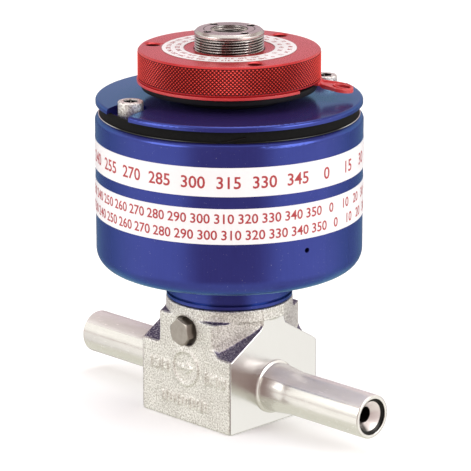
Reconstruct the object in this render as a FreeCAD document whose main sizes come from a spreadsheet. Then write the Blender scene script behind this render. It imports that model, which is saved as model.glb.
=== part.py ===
"""High pressure gas valve: forged body with two tube stubs and a spring-loaded air actuator.

Millimetres, +Z up. The origin is the middle of the body's underside, on the actuator's axis.
The flow axis is X. Air under the piston lifts the stem; a threaded ring lifts it by hand.
"""
import FreeCAD
import Part
import math
import os
import types

import Sketcher

doc = FreeCAD.newDocument("GasValve")

# How far a cut runs past the face it opens
CUT_OVERRUN = 1.0

# Less than this is no change of volume, or no change of height
SMALLEST_VOLUME = 1e-6
SMALLEST_LENGTH = 0.01

HEXAGON_CORNERS = 6

# Driving dimensions; the rest is worked out from them below
DIMENSIONS = [
    ("tube_radius", 6.35, "tube stub, outside"),
    ("stub_length", 38.85, "tube stub outside the body"),
    ("tube_bore_radius", 2.25, "flow bore"),
    ("tube_end_chamfer", 0.35, "outer edge of a stub's end"),
    ("mouth_wall", 1.2, "wall round the counterbore in a stub's end"),
    ("mouth_depth", 1.8, "counterbore in a stub's end"),
    ("mouth_cone_angle", 31.0, "slope of the drill cone behind the counterbore"),
    ("collar_height", 1.05, "collar of a stub, over the tube"),
    ("collar_foot_height", 1.55, "foot of the collar on the body, over the tube"),
    ("collar_foot_length", 0.7, "foot of the collar"),
    ("collar_length", 8.7, "collar, tapered down to the tube"),
    ("socket_depth", 4.0, "how far a stub is set into the body"),
    ("flow_height", 11.14, "flow axis above the underside"),
    ("body_length", 36.6, "forged body along the flow axis"),
    ("body_width", 36.0, "forged body across the flow axis"),
    ("shoulder_height", 22.0, "top of the forged block"),
    ("underside_round", 0.6, "rounding round the underside"),
    ("corner_round", 0.8, "rounding of the block's upright corners"),
    ("back_edge_round", 2.8, "rounding from the block's back to the crown's roof"),
    ("crown_setback", 0.6, "foot of the crown from the block's side"),
    ("crown_slope_angle", 31.0, "slope of the crown's roof"),
    ("crown_neck", 4.2, "half width of the crown under the ring"),
    ("crown_round", 3.2, "sweep of the roof up to the ring"),
    ("core_setback", 0.1, "round core between the ears, inside the block's ends"),
    ("core_point", 2.8, "where the core's flanks would meet, beyond its end"),
    ("ear_half_width", 10.6, "ear above the shoulder, along the flow axis"),
    ("ear_foot_round", 4.3, "sweep of the ear's foot on the outlet side"),
    ("ear_inlet_foot_round", 1.6, "sweep of the ear's foot on the inlet side"),
    ("ear_foot_flat", 1.0, "flat beside the sweep of the ear's foot"),
    ("ear_height", 9.7, "ear above the shoulder"),
    ("ring_thickness", 3.6, "ring on top of the forging"),
    ("ring_overhang", 0.2, "ring beyond the forging's ends"),
    ("register_wall", 1.3, "wall round the recess that centres the actuator"),
    ("register_depth", 1.0, "that recess"),
    ("register_gap", 0.4, "open line between the ring and the neck"),
    ("ear_wall", 1.6, "ear outside the neck's thread"),
    ("seat_rise", 6.86, "valve seat above the flow axis"),
    ("seat_bore_radius", 1.8, "bore of the valve seat"),
    ("passage_end_gap", 0.3, "end of a passage beyond the bore it meets"),
    ("seat_lip_width", 1.05, "raised lip of the seat"),
    ("seat_lip_height", 2.0, "raised lip of the seat"),
    ("seat_lip_slope", 0.4, "flare of the lip at its foot"),
    ("chamber_step", 1.6, "chamber round the seat, inside the neck's thread"),
    ("gasket_thickness", 1.5, "neck gasket"),
    ("riser_radius", 1.5, "outlet riser"),
    ("riser_edge", 0.4, "floor between the riser and the chamber's wall"),
    ("lock_screw_rise", 3.3, "lock screw above the end of the neck"),
    ("lock_screw_radius", 2.4, "lock screw's shank"),
    ("lock_screw_flats", 7.0, "lock screw's hexagon across flats"),
    ("lock_screw_head", 4.1, "lock screw's head"),
    ("lock_screw_angle", 42.0, "first corner of the hexagon, from the flow axis"),
    ("lock_screw_bevel_angle", 24.0, "bevel of the hexagon's corners"),
    ("lock_face_gap", 0.46, "spot face round the hexagon's corners"),
    ("lock_face_depth", 1.6, "spot face of the lock screw, into the ear"),
    ("travel", 2.0, "lift of the stem"),
    ("stop_gap", 0.05, "gap left at the end of the lift"),
    ("running_gap", 0.05, "radial clearance of a sliding fit"),
    ("rod_radius", 10.0, "piston rod above the piston"),
    ("rod_shoulder", 4.0, "step down to the rod's tail"),
    ("rod_proud", 5.55, "rod above the override ring"),
    ("rod_chamfer", 0.85, "chamfer of the rod's top edge"),
    ("tail_in_bush", 3.6, "rod's tail inside the gland bush"),
    ("air_way_radius", 1.5, "air bore down the rod"),
    ("air_outlet_radius", 1.0, "cross hole that lets the air out"),
    ("air_outlet_rise", 1.2, "cross hole above the floor of the well"),
    ("rod_end_wall", 2.73, "rod round the port bush"),
    ("port_bush_length", 10.0, "bush with the air port"),
    ("port_radius", 3.5, "air port"),
    ("port_floor", 1.2, "floor below the air port"),
    ("port_mouth_step", 1.7, "spot face round the air port"),
    ("port_mouth_depth", 0.9, "spot face round the air port"),
    ("key_hole_radius", 0.9, "key holes in the end of the rod"),
    ("key_hole_offset", 0.33, "key holes outside the bush's joint"),
    ("key_hole_depth", 2.5, "key holes"),
    ("key_hole_count", 4, "key holes"),
    ("key_hole_angle", -9.5, "first key hole"),
    ("stem_step", 2.0, "stem inside the rod's tail"),
    ("stem_foot_step", 1.2, "foot of the stem, over the stem"),
    ("stem_foot_lift", 1.2, "foot of the stem above the seat"),
    ("stem_foot_gap", 0.3, "foot of the lifted stem below the neck"),
    ("stem_tip_step", 1.5, "screwed tip of the stem, inside the stem"),
    ("stem_tip_length", 3.6, "screwed tip of the stem"),
    ("seat_disc_wall", 1.6, "foot of the stem round its soft disc"),
    ("seat_disc_thickness", 2.4, "soft disc in the stem's foot"),
    ("bush_wall", 1.0, "gland bush round the rod's tail"),
    ("neck_web", 2.5, "web below the packing chamber"),
    ("web_gap", 0.3, "web round the stem"),
    ("packing_washer_thickness", 2.0, "washer below the packing rings"),
    ("packing_ring_side", 1.9, "straight side of a packing ring"),
    ("packing_ring_crest", 0.8, "ridge of a packing ring"),
    ("packing_ring_gap", 0.3, "space between packing rings"),
    ("packing_ring_count", 3, "packing rings"),
    ("spigot_length", 11.2, "neck inside the body"),
    ("neck_setback", 0.1, "neck inside the forging's ring"),
    ("neck_length", 9.2, "neck above the body"),
    ("neck_lip", 0.85, "lip at the foot of the neck"),
    ("neck_groove_width", 0.8, "groove above the lip"),
    ("neck_groove_depth", 1.0, "groove above the lip"),
    ("housing_radius", 38.6, "actuator housing"),
    ("housing_base_round", 5.3, "rounding of the housing's underside"),
    ("housing_height", 44.65, "housing from its underside to its shoulder"),
    ("housing_shoulder_round", 1.6, "rounding of the shoulder"),
    ("rim_height", 1.45, "rim that carries the cover, above the shoulder"),
    ("rim_setback", 2.0, "rim inside the housing"),
    ("cylinder_wall", 10.6, "housing round the air cylinder"),
    ("floor_thickness", 6.1, "floor of the air cylinder"),
    ("well_floor_thickness", 1.1, "floor of the well for the piston nut"),
    ("well_gap", 0.63, "well round the piston nut"),
    ("vent_radius", 0.75, "vent of the spring chamber"),
    ("vent_rise", 0.5, "vent above the resting piston"),
    ("vent_angle", -10.4, "where the vent looks, from the flow axis"),
    ("piston_gap", 0.05, "clearance of the piston in its cylinder"),
    ("piston_rest_gap", 0.5, "air gap below the resting piston"),
    ("piston_plate", 5.5, "thickness of the piston"),
    ("hub_wall", 2.5, "hub that guides the springs, round the rod"),
    ("nut_wall", 3.5, "piston nut round the rod's tail, at its flats"),
    ("nut_height", 3.0, "piston nut"),
    ("seal_cord_radius", 1.15, "cord of the sealing rings"),
    ("seal_groove_width", 2.8, "groove for a sealing ring"),
    ("seal_groove_depth", 2.4, "groove for a sealing ring"),
    ("spring_side_gap", 3.0, "disc springs inside the cylinder"),
    ("spring_hub_gap", 0.2, "disc springs round the hub"),
    ("spring_thickness", 2.0, "disc springs"),
    ("spring_count", 8, "disc springs"),
    ("skirt_length", 7.0, "cover inside the cylinder"),
    ("flange_thickness", 3.5, "cover above the housing's rim"),
    ("cover_setback", 0.2, "cover inside the housing"),
    ("cover_rim_thickness", 1.5, "cover's rim"),
    ("cover_rim_round", 0.9, "rounding of the cover's rim"),
    ("rod_seal_count", 2, "rod seals in the cover"),
    ("notch_gap", 0.3, "notch beside a cover screw's head, on the close side"),
    ("notch_open_gap", 2.2, "notch beside that head on the open side, and behind it"),
    ("notch_end_flat", 0.2, "flat between a notch's rounded corners, on each side"),
    ("notch_turn_angle", 32.0, "turn of a notch away from the cover's radius"),
    ("notch_floor_thickness", 1.1, "cover below a screw's head"),
    ("screw_angle", 76.0, "first cover screw"),
    ("screw_count", 2, "cover screws"),
    ("screw_radius", 2.4, "shank of a cover screw"),
    ("screw_hole_gap", 0.35, "clearance of the screw in the cover"),
    ("screw_hole_end", 1.0, "thread below the end of the screw"),
    ("screw_length", 12.0, "shank of a cover screw"),
    ("screw_head_radius", 3.65, "head of a cover screw"),
    ("screw_head_height", 4.75, "head of a cover screw"),
    ("screw_head_round", 0.4, "edge of the head"),
    ("screw_socket_flats", 4.0, "hexagon socket"),
    ("screw_socket_depth", 2.6, "hexagon socket"),
    ("edge_seal_thickness", 0.65, "black ring in the gap below the cover"),
    ("edge_seal_gap", 0.05, "that ring below the cover's rim"),
    ("wire_radius", 0.22, "retaining wire"),
    ("wire_sweep_angle", 354.0, "retaining wire lying flat"),
    ("wire_start_angle", -42.0, "where the flat wire starts"),
    ("wire_lift_angle", -48.6, "where the wire's free end leaves the flat"),
    ("wire_end_angle", 11.2, "free end of the wire, from there"),
    ("wire_end_step", 0.04, "free end thinner than the rest"),
    ("wire_tilt_angle", 12.0, "rise of the wire's free end"),
    ("thrust_ring_radius", 25.2, "flange of the thrust ring, under the clip"),
    ("thrust_ring_thickness", 1.8, "that flange"),
    ("thrust_hub_step", 8.2, "hub of the thrust ring, inside its flange"),
    ("thrust_ring_gap", 0.6, "thrust ring round the rod"),
    ("thrust_ring_height", 4.5, "thrust ring"),
    ("clip_gap", 0.05, "play of the clip between its rings"),
    ("clip_thickness", 0.8, "lock clip"),
    ("clip_overhang", 0.2, "lock clip beyond the override ring"),
    ("clip_bore_gap", 1.0, "lock clip round the rod"),
    ("clip_tab_angle", 38.5, "where the clip's tab points"),
    ("clip_tab_half_width", 4.4, "clip's tab at its eye"),
    ("clip_tab_waist", 1.5, "sides of the tab drawn in at its root"),
    ("clip_tab_length", 9.1, "clip's tab beyond the washer"),
    ("clip_tab_root", 0.9, "bend of the tab, inside the washer's edge"),
    ("clip_tab_bend", 1.4, "steep part of the tab after its bend"),
    ("clip_tab_step", 1.05, "fall of that steep part"),
    ("clip_tab_droop", 1.4, "fall of the tab from there to its end"),
    ("clip_tab_end_flat", 0.5, "flat left beside each rounded corner of the tab"),
    ("clip_eye_radius", 1.85, "eye in the tab"),
    ("clip_eye_inset", 3.1, "eye from the end of the tab"),
    ("clip_mouth_start_angle", 4.0, "first side of the clip's opening"),
    ("clip_mouth_end_angle", 28.0, "other side of the clip's opening"),
    ("hand_ring_radius", 26.3, "override ring over its knurl"),
    ("hand_ring_height", 8.6, "override ring"),
    ("hand_ring_bevel", 0.5, "bevels of the override ring"),
    ("hand_ring_gap", 0.1, "override ring round the rod"),
    ("spanner_hole_radius", 2.1, "spanner holes in the override ring"),
    ("spanner_hole_inset", 4.0, "spanner holes from the ring's edge"),
    ("spanner_hole_depth", 5.0, "spanner holes"),
    ("spanner_hole_count", 3, "spanner holes"),
    ("spanner_hole_angle", 94.0, "first spanner hole"),
    ("label_thickness", 0.12, "adhesive labels"),
    ("ring_label_gap", 3.0, "label on the override ring, round the rod"),
    ("ring_label_inset", 6.9, "that label from the ring's edge"),
    ("upper_band_drop", 6.55, "upper label band below the housing's shoulder"),
    ("upper_band_width", 8.3, "upper label band"),
    ("band_space", 3.45, "bare stretch between the bands"),
    ("lower_band_width", 10.25, "lower label band"),
]


class Size:
    """A dimension that carries its number and the sheet formula that it comes from."""

    def __init__(self, number, formula):
        self.number = number
        self.formula = formula

    def __add__(self, other):
        other = as_size(other)
        return Size(self.number + other.number, f"({self.formula} + {other.formula})")

    def __sub__(self, other):
        other = as_size(other)
        return Size(self.number - other.number, f"({self.formula} - {other.formula})")

    def __mul__(self, other):
        other = as_size(other)
        return Size(self.number * other.number, f"({self.formula} * {other.formula})")

    def __truediv__(self, other):
        other = as_size(other)
        return Size(self.number / other.number, f"({self.formula} / {other.formula})")

    def __neg__(self):
        return Size(-self.number, f"(0 - {self.formula})")


def as_size(value):
    return value if isinstance(value, Size) else Size(value, str(value))


def cosine(angle):
    return Size(math.cos(math.radians(angle.number)), f"cos({angle.formula} * 1 deg)")


def sine(angle):
    return Size(math.sin(math.radians(angle.number)), f"sin({angle.formula} * 1 deg)")


def slope(angle):
    return Size(math.tan(math.radians(angle.number)), f"tan({angle.formula} * 1 deg)")


def hypotenuse(one, other):
    return Size(math.hypot(one.number, other.number), f"sqrt({(one * one + other * other).formula})")


def fill_sheet():
    """Write the driving dimensions to the sheet and return them as sizes."""
    sheet = doc.addObject("Spreadsheet::Sheet", "Sizes")
    for row, (alias, number, meaning) in enumerate(DIMENSIONS, start=1):
        sheet.set(f"A{row}", meaning)
        sheet.set(f"B{row}", str(number))
        sheet.setAlias(f"B{row}", alias)
    doc.recompute()
    return types.SimpleNamespace(
        **{alias: Size(number, f"Sizes.{alias}") for alias, number, meaning in DIMENSIONS}
    )


size = fill_sheet()


def tie(thing, name, value):
    """Set a property of thing through the sheet."""
    thing.setExpression(name, as_size(value).formula)


# Sketches, features and groups that every sub-part uses
def new_body(label):
    body = doc.addObject("PartDesign::Body", label)
    body.Label = label
    return body


def new_sketch(body, name, plane, rise=None, turn=None):
    """Sketch on an origin plane of the body, lifted off it by rise or turned about its upright."""
    sketch = body.newObject("Sketcher::SketchObject", name)
    origin_plane = next(face for face in body.Origin.OriginFeatures if face.Role == plane)
    sketch.AttachmentSupport = [(origin_plane, "")]
    sketch.MapMode = "FlatFace"
    if rise is not None:
        tie(sketch, "AttachmentOffset.Base.z", rise)
    if turn is not None:
        upright = FreeCAD.Rotation(FreeCAD.Vector(0, 1, 0), turn.number)
        sketch.AttachmentOffset = FreeCAD.Placement(FreeCAD.Vector(), upright)
        tie(sketch, "AttachmentOffset.Rotation.Angle", turn)
    return sketch


class Drawing:
    """Collects the constraints of one sketch and ties their values to the sheet."""

    def __init__(self, sketch):
        self.sketch = sketch
        self.constraints = []
        self.ties = []

    def fix(self, kind, *where):
        self.constraints.append(Sketcher.Constraint(kind, *where))

    def measure(self, kind, value, *where):
        self.ties.append((len(self.constraints), value))
        self.constraints.append(Sketcher.Constraint(kind, *where, value.number))

    def place(self, across, up, *point):
        """Hold a point at a distance across and up from the sketch's origin."""
        for kind, axis, value in (("DistanceX", -2, across), ("DistanceY", -1, up)):
            if value.formula == "0":
                self.fix("PointOnObject", *point, axis)
            else:
                self.measure(kind, value, -1, 1, *point)

    def finish(self):
        self.sketch.addConstraint(self.constraints)
        for index, value in self.ties:
            tie(self.sketch, f"Constraints[{index}]", value)


def corner_arc(before, here, after, radius):
    """Arc that rounds a corner, where it starts and ends, and which end comes first."""
    back = (before - here).normalize()
    ahead = (after - here).normalize()
    half_angle = back.getAngle(ahead) / 2
    arrive = here + back * (radius / math.tan(half_angle))
    leave = here + ahead * (radius / math.tan(half_angle))
    centre = here + (back + ahead).normalize() * (radius / math.sin(half_angle))
    circle = Part.Circle(centre, FreeCAD.Vector(0, 0, 1), radius)
    first, last = (arrive, leave)
    turns_left = (arrive - centre).cross(leave - centre).z > 0
    if not turns_left:
        first, last = (leave, arrive)
    start = math.atan2(first.y - centre.y, first.x - centre.x)
    end = math.atan2(last.y - centre.y, last.x - centre.x)
    return Part.ArcOfCircle(circle, start, end), arrive, leave, turns_left


def draw_outline(sketch, corners):
    """Closed outline through corners of (across, up), or (across, up, rounding)."""
    corners = [tuple(as_size(value) for value in corner) for corner in corners]
    points = [FreeCAD.Vector(across.number, up.number, 0) for across, up, *_ in corners]
    count = len(points)
    arrive = list(points)
    leave = list(points)
    arcs = {}
    for index, (across, up, *rounding) in enumerate(corners):
        if rounding:
            after = points[(index + 1) % count]
            arcs[index] = corner_arc(points[index - 1], points[index], after, rounding[0].number)
            arrive[index], leave[index] = arcs[index][1:3]
    lines = [Part.LineSegment(leave[index], arrive[(index + 1) % count]) for index in range(count)]
    sketch.addGeometry(lines, False)
    drawing = Drawing(sketch)
    for index, (across, up, *rounding) in enumerate(corners):
        line_in, line_out = (index - 1) % count, index
        if not rounding:
            drawing.fix("Coincident", line_in, 2, line_out, 1)
            drawing.place(across, up, line_out, 1)
            continue
        arc, _, _, turns_left = arcs[index]
        arc_index = sketch.addGeometry(arc, False)
        corner_index = sketch.addGeometry(Part.Point(points[index]), True)
        start, end = (1, 2) if turns_left else (2, 1)
        drawing.fix("Tangent", line_in, 2, arc_index, start)
        drawing.fix("Tangent", arc_index, end, line_out, 1)
        drawing.measure("Radius", rounding[0], arc_index)
        drawing.place(across, up, corner_index, 1)
        drawing.fix("PointOnObject", corner_index, 1, line_in)
        drawing.fix("PointOnObject", corner_index, 1, line_out)
    drawing.finish()


def draw_circle(sketch, across, up, radius):
    across, up = as_size(across), as_size(up)
    centre = FreeCAD.Vector(across.number, up.number, 0)
    circle = sketch.addGeometry(Part.Circle(centre, FreeCAD.Vector(0, 0, 1), radius.number), False)
    drawing = Drawing(sketch)
    drawing.place(across, up, circle, 3)
    drawing.measure("Radius", radius, circle)
    drawing.finish()


def corner_radius(across_flats):
    """From the middle of a regular hexagon to its corners."""
    return across_flats / 2 / cosine(as_size(180 / HEXAGON_CORNERS))


def hexagon(across_flats, first_corner=as_size(0)):
    """Corners of a regular hexagon; first_corner is the angle of one of them."""
    corners = []
    for turn in range(HEXAGON_CORNERS):
        angle = first_corner + turn * 360 / HEXAGON_CORNERS
        corners.append((corner_radius(across_flats) * cosine(angle),
                        corner_radius(across_flats) * sine(angle)))
    return corners


def add_feature(body, kind, name, profile):
    """Add a feature to the body; a cut has to take material away."""
    doc.recompute()
    before = body.Shape.Volume if body.Tip else 0.0
    feature = body.newObject(f"PartDesign::{kind}", name)
    feature.Profile = profile
    body.Tip = feature
    return feature, before


def check_change(body, name, before, grows):
    doc.recompute()
    change = body.Shape.Volume - before
    if (change > 0) != grows or abs(change) < SMALLEST_VOLUME:
        raise RuntimeError(f"{body.Label}: {name} changed the volume by {change:.4f}")


def turn_solid(body, name, corners, grows=True, axis="V_Axis"):
    """Turn an outline of (radius, height) about the body's axis, as a solid or as a cut."""
    sketch = new_sketch(body, name + "Outline", "XZ_Plane")
    draw_outline(sketch, corners)
    feature, before = add_feature(body, "Revolution" if grows else "Groove", name, sketch)
    feature.ReferenceAxis = (sketch, [axis])
    feature.Angle = 360
    check_change(body, name, before, grows)
    return feature


def pad(body, name, sketch, length, both_ways=False, reverse=False):
    feature, before = add_feature(body, "Pad", name, sketch)
    tie(feature, "Length", length)
    feature.Midplane = both_ways
    feature.Reversed = reverse
    check_change(body, name, before, True)
    return feature


def pocket(body, name, sketch, depth, both_ways=False, reverse=False):
    feature, before = add_feature(body, "Pocket", name, sketch)
    tie(feature, "Length", depth)
    feature.Midplane = both_ways
    feature.Reversed = reverse
    check_change(body, name, before, False)
    return feature


def bore(body, name, plane, centre, radius, rise, depth, reverse=False):
    """Round hole from a plane at rise, as deep as depth."""
    sketch = new_sketch(body, name + "Circle", plane, rise)
    draw_circle(sketch, *centre, radius)
    return pocket(body, name, sketch, depth, reverse=reverse)


def repeat_round(body, name, feature, count):
    """Repeat a feature evenly round the upright axis."""
    before = body.Shape.Volume
    pattern = body.newObject("PartDesign::PolarPattern", name)
    upright = next(line for line in body.Origin.OriginFeatures if line.Role == "Z_Axis")
    pattern.Originals = [feature]
    pattern.Axis = (upright, [""])
    pattern.Angle = 360
    tie(pattern, "Occurrences", count)
    body.Tip = pattern
    if count.number > 1:
        check_change(body, name, before, False)


def round_edges(body, name, test, radius):
    """Round the edges of the body that pass the test."""
    doc.recompute()
    names = [f"Edge{number}" for number, edge in enumerate(body.Shape.Edges, start=1) if test(edge)]
    base = body.Tip
    fillet = body.newObject("PartDesign::Fillet", name)
    fillet.Base = (base, names)
    tie(fillet, "Radius", radius)
    body.Tip = fillet
    doc.recompute()


def ring_groove(body, name, inner, outer, height, width):
    """Groove for a sealing ring, centred at height."""
    half = width / 2
    corners = [(inner, height - half), (outer, height - half), (outer, height + half), (inner, height + half)]
    turn_solid(body, name, corners, grows=False)


def sealing_ring(label, radius, height):
    """Round sealing ring whose cord runs at this radius and height."""
    ring = doc.addObject("Part::Torus", label)
    ring.Label = label
    tie(ring, "Radius1", radius)
    tie(ring, "Radius2", size.seal_cord_radius)
    tie(ring, "Placement.Base.z", height)
    return ring


def group_of(label, pattern_piece, placements):
    """Separate copies of one piece in one group."""
    copies = []
    for number, placement in enumerate(placements, start=1):
        copy = doc.addObject("App::Link", f"{label}_{number}")
        copy.LinkedObject = pattern_piece
        copy.Placement = placement
        copies.append(copy)
    group = doc.addObject("Part::Compound", label)
    group.Label = label
    group.Links = copies
    return group


def upright_turn(angle):
    return FreeCAD.Rotation(FreeCAD.Vector(0, 0, 1), angle)


# Sizes of the forging and of what is drilled into it
size.crown_foot = size.body_width / 2 - size.crown_setback
size.core_reach = size.body_length / 2 - size.core_setback
size.core_corner = size.core_reach + size.core_point
size.core_flank = hypotenuse(size.core_corner - size.ear_half_width, size.body_width / 2)
size.core_round = size.core_point * size.body_width / 2 / (size.core_flank - size.body_width / 2)
size.ear_foot_reach = size.ear_half_width + size.ear_foot_round + size.ear_foot_flat
size.ledge_height = size.shoulder_height + size.ear_height
size.ring_height = size.ledge_height + size.ring_thickness
size.ring_radius = size.body_length / 2 + size.ring_overhang
size.register_radius = size.ring_radius - size.register_wall
size.register_floor = size.ring_height - size.register_depth
size.neck_thread_radius = size.ear_half_width - size.ear_wall
size.neck_foot = size.ring_height + size.register_gap
size.spigot_end = size.neck_foot - size.spigot_length
size.gasket_height = size.spigot_end - size.gasket_thickness
size.seat_height = size.flow_height + size.seat_rise
size.seat_lip_radius = size.seat_bore_radius + size.seat_lip_width
size.chamber_floor = size.seat_height - size.seat_lip_height
size.chamber_radius = size.neck_thread_radius - size.chamber_step
size.riser_place = size.chamber_radius - size.riser_radius - size.riser_edge
size.inlet_passage_end = size.seat_bore_radius + size.passage_end_gap
size.outlet_passage_end = size.riser_place - size.riser_radius - size.passage_end_gap
size.lock_face_radius = corner_radius(size.lock_screw_flats) + size.lock_face_gap
size.lock_screw_height = size.spigot_end + size.lock_screw_rise

# Sizes of the stubs
size.tube_reach = size.body_length / 2 + size.stub_length
size.mouth_radius = size.tube_radius - size.mouth_wall
size.collar_radius = size.tube_radius + size.collar_height
size.collar_foot_radius = size.tube_radius + size.collar_foot_height

# Sizes of the housing and its cover
size.neck_radius = size.ring_radius - size.neck_setback
size.housing_base = size.neck_foot + size.neck_length
size.housing_shoulder = size.housing_base + size.housing_height
size.housing_rim = size.housing_shoulder + size.rim_height
size.housing_rim_radius = size.housing_radius - size.rim_setback
size.cylinder_radius = size.housing_radius - size.cylinder_wall
size.cylinder_floor = size.housing_base + size.floor_thickness
size.well_floor = size.housing_base + size.well_floor_thickness
size.cover_base = size.housing_rim - size.skirt_length
size.cover_top = size.housing_rim + size.flange_thickness
size.cover_rim_underside = size.cover_top - size.cover_rim_thickness
size.cover_seal_height = size.housing_rim - size.skirt_length / 2
size.rod_seal_pitch = (size.cover_top - size.cover_base) / (size.rod_seal_count + 1)
size.cover_radius = size.housing_radius - size.cover_setback
size.notch_floor = size.housing_rim + size.notch_floor_thickness
size.notch_near_wall = size.screw_head_radius + size.notch_gap
size.notch_far_wall = size.screw_head_radius + size.notch_open_gap
size.notch_end_round = (size.notch_near_wall + size.notch_far_wall) / 2 - size.notch_end_flat
size.screw_circle = (size.cylinder_radius + size.housing_rim_radius) / 2
size.upper_band_high = size.housing_shoulder - size.upper_band_drop
size.upper_band_low = size.upper_band_high - size.upper_band_width
size.lower_band_high = size.upper_band_low - size.band_space
size.lower_band_low = size.lower_band_high - size.lower_band_width
size.edge_seal_radius = size.housing_rim_radius + size.edge_seal_thickness

# Sizes of the piston, the rod, the stem and what seals them
size.piston_base = size.cylinder_floor + size.piston_rest_gap
size.piston_top = size.piston_base + size.piston_plate
size.piston_radius = size.cylinder_radius - size.piston_gap
size.piston_hub_radius = size.rod_radius + size.hub_wall
size.rod_tail_radius = size.rod_radius - size.rod_shoulder
size.rod_bore = size.rod_radius + size.running_gap
size.rod_end = size.well_floor - size.tail_in_bush
size.stem_radius = size.rod_tail_radius - size.stem_step
size.stem_bore = size.stem_radius + size.running_gap
size.stem_tip_radius = size.stem_radius - size.stem_tip_step
size.stem_foot_radius = size.stem_radius + size.stem_foot_step
size.stem_foot_base = size.seat_height + size.stem_foot_lift
size.stem_foot_top = size.spigot_end - size.travel - size.stem_foot_gap
size.seat_disc_radius = size.stem_foot_radius - size.seat_disc_wall
size.seat_disc_top = size.seat_height + size.seat_disc_thickness
size.packing_radius = size.rod_tail_radius + size.bush_wall
size.packing_floor = size.spigot_end + size.neck_web
size.packing_start = size.packing_floor + size.packing_washer_thickness
size.packing_ring_pitch = size.packing_ring_side + size.packing_ring_gap
size.packing_end = (size.packing_start + size.packing_ring_pitch * (size.packing_ring_count - 1)
                    + size.packing_ring_side + size.packing_ring_crest)
size.nut_flats = (size.rod_tail_radius + size.nut_wall) * 2
size.well_radius = corner_radius(size.nut_flats) + size.well_gap
size.piston_seal_height = size.piston_base + size.piston_plate / 2
size.air_outlet_height = size.well_floor + size.air_outlet_rise
size.vent_height = size.piston_top + size.vent_rise
size.spring_inner_radius = size.piston_hub_radius + size.spring_hub_gap
size.spring_outer_radius = size.cylinder_radius - size.spring_side_gap
size.spring_pitch = (size.cover_base - size.piston_top) / size.spring_count

# Sizes of the rings and the clip on top of the cover
size.thrust_ring_top = size.cover_top + size.thrust_ring_height
size.thrust_flange_base = size.thrust_ring_top - size.thrust_ring_thickness
size.thrust_hub_radius = size.thrust_ring_radius - size.thrust_hub_step
size.clip_base = size.thrust_ring_top + size.clip_gap
size.clip_top = size.clip_base + size.clip_thickness
size.clip_radius = size.hand_ring_radius + size.clip_overhang
size.clip_bore = size.rod_radius + size.clip_bore_gap
size.clip_tab_reach = size.clip_radius + size.clip_tab_length
size.clip_tab_start = size.clip_radius - size.clip_tab_root
size.clip_tab_knee = size.clip_tab_start + size.clip_tab_bend
size.clip_tab_fall = size.clip_tab_step + size.clip_tab_droop
size.clip_tab_round = size.clip_tab_half_width - size.clip_tab_end_flat
size.clip_eye_place = size.clip_tab_reach - size.clip_eye_inset
size.hand_ring_base = size.clip_top + size.clip_gap
size.hand_ring_top = size.hand_ring_base + size.hand_ring_height
size.spanner_hole_circle = size.hand_ring_radius - size.spanner_hole_inset
size.rod_top = size.hand_ring_top + size.rod_proud
size.port_mouth_radius = size.port_radius + size.port_mouth_step
size.port_bush_radius = size.rod_radius - size.rod_end_wall
size.port_bush_base = size.rod_top - size.port_bush_length
size.key_hole_circle = size.port_bush_radius + size.key_hole_offset


# Valve body: a forging with a cross-shaped top under a turned ring, drilled from three sides
def make_valve_body():
    body = new_body("valve_body")
    half_length = size.body_length / 2
    half_width = size.body_width / 2

    sketch = new_sketch(body, "BlockOutline", "XY_Plane")
    draw_outline(sketch, [(-half_length, -half_width), (half_length, -half_width),
                          (half_length, half_width), (-half_length, half_width)])
    pad(body, "Block", sketch, size.shoulder_height)
    round_edges(body, "UprightCorners", lambda edge: edge.BoundBox.ZLength > SMALLEST_LENGTH,
                size.corner_round)
    round_edges(body, "Underside", lambda edge: edge.BoundBox.ZMax < SMALLEST_LENGTH,
                size.underside_round)

    roof_rise = (size.crown_foot - size.crown_neck) * slope(size.crown_slope_angle)
    crown_corner = size.shoulder_height + roof_rise
    overlap = size.shoulder_height - size.back_edge_round
    sketch = new_sketch(body, "CrownOutline", "YZ_Plane")
    draw_outline(sketch, [
        (-size.crown_foot, overlap), (size.crown_foot, overlap),
        (size.crown_foot, size.shoulder_height), (size.crown_neck, crown_corner, size.crown_round),
        (size.crown_neck, size.ring_height), (-size.crown_neck, size.ring_height),
        (-size.crown_neck, crown_corner, size.crown_round), (-size.crown_foot, size.shoulder_height),
    ])
    pad(body, "Crown", sketch, size.body_length, both_ways=True)

    back_edge = size.shoulder_height - size.crown_setback * slope(size.crown_slope_angle)
    sketch = new_sketch(body, "BackEdgeOutline", "YZ_Plane")
    draw_outline(sketch, [
        (half_width, overlap), (half_width + CUT_OVERRUN, overlap),
        (half_width + CUT_OVERRUN, crown_corner), (size.crown_neck, crown_corner),
        (half_width, back_edge, size.back_edge_round),
    ])
    pocket(body, "BackEdge", sketch, size.body_length + CUT_OVERRUN, both_ways=True)

    sketch = new_sketch(body, "EarOutline", "XZ_Plane")
    draw_outline(sketch, [
        (-size.ear_foot_reach, overlap), (size.ear_foot_reach, overlap),
        (size.ear_foot_reach, size.shoulder_height),
        (size.ear_half_width, size.shoulder_height, size.ear_foot_round),
        (size.ear_half_width, size.ledge_height), (-size.ear_half_width, size.ledge_height),
        (-size.ear_half_width, size.shoulder_height, size.ear_inlet_foot_round),
        (-size.ear_foot_reach, size.shoulder_height),
    ])
    pad(body, "Ears", sketch, size.body_width, both_ways=True)

    sketch = new_sketch(body, "CoreOutline", "XY_Plane", overlap)
    draw_outline(sketch, [
        (-size.ear_half_width, -half_width), (size.ear_half_width, -half_width),
        (size.core_corner, 0, size.core_round),
        (size.ear_half_width, half_width), (-size.ear_half_width, half_width),
        (-size.core_corner, 0, size.core_round),
    ])
    pad(body, "Core", sketch, size.ledge_height - overlap)

    turn_solid(body, "Ring", [(0, size.ledge_height), (size.ring_radius, size.ledge_height),
                              (size.ring_radius, size.ring_height), (0, size.ring_height)])
    return body


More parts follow.
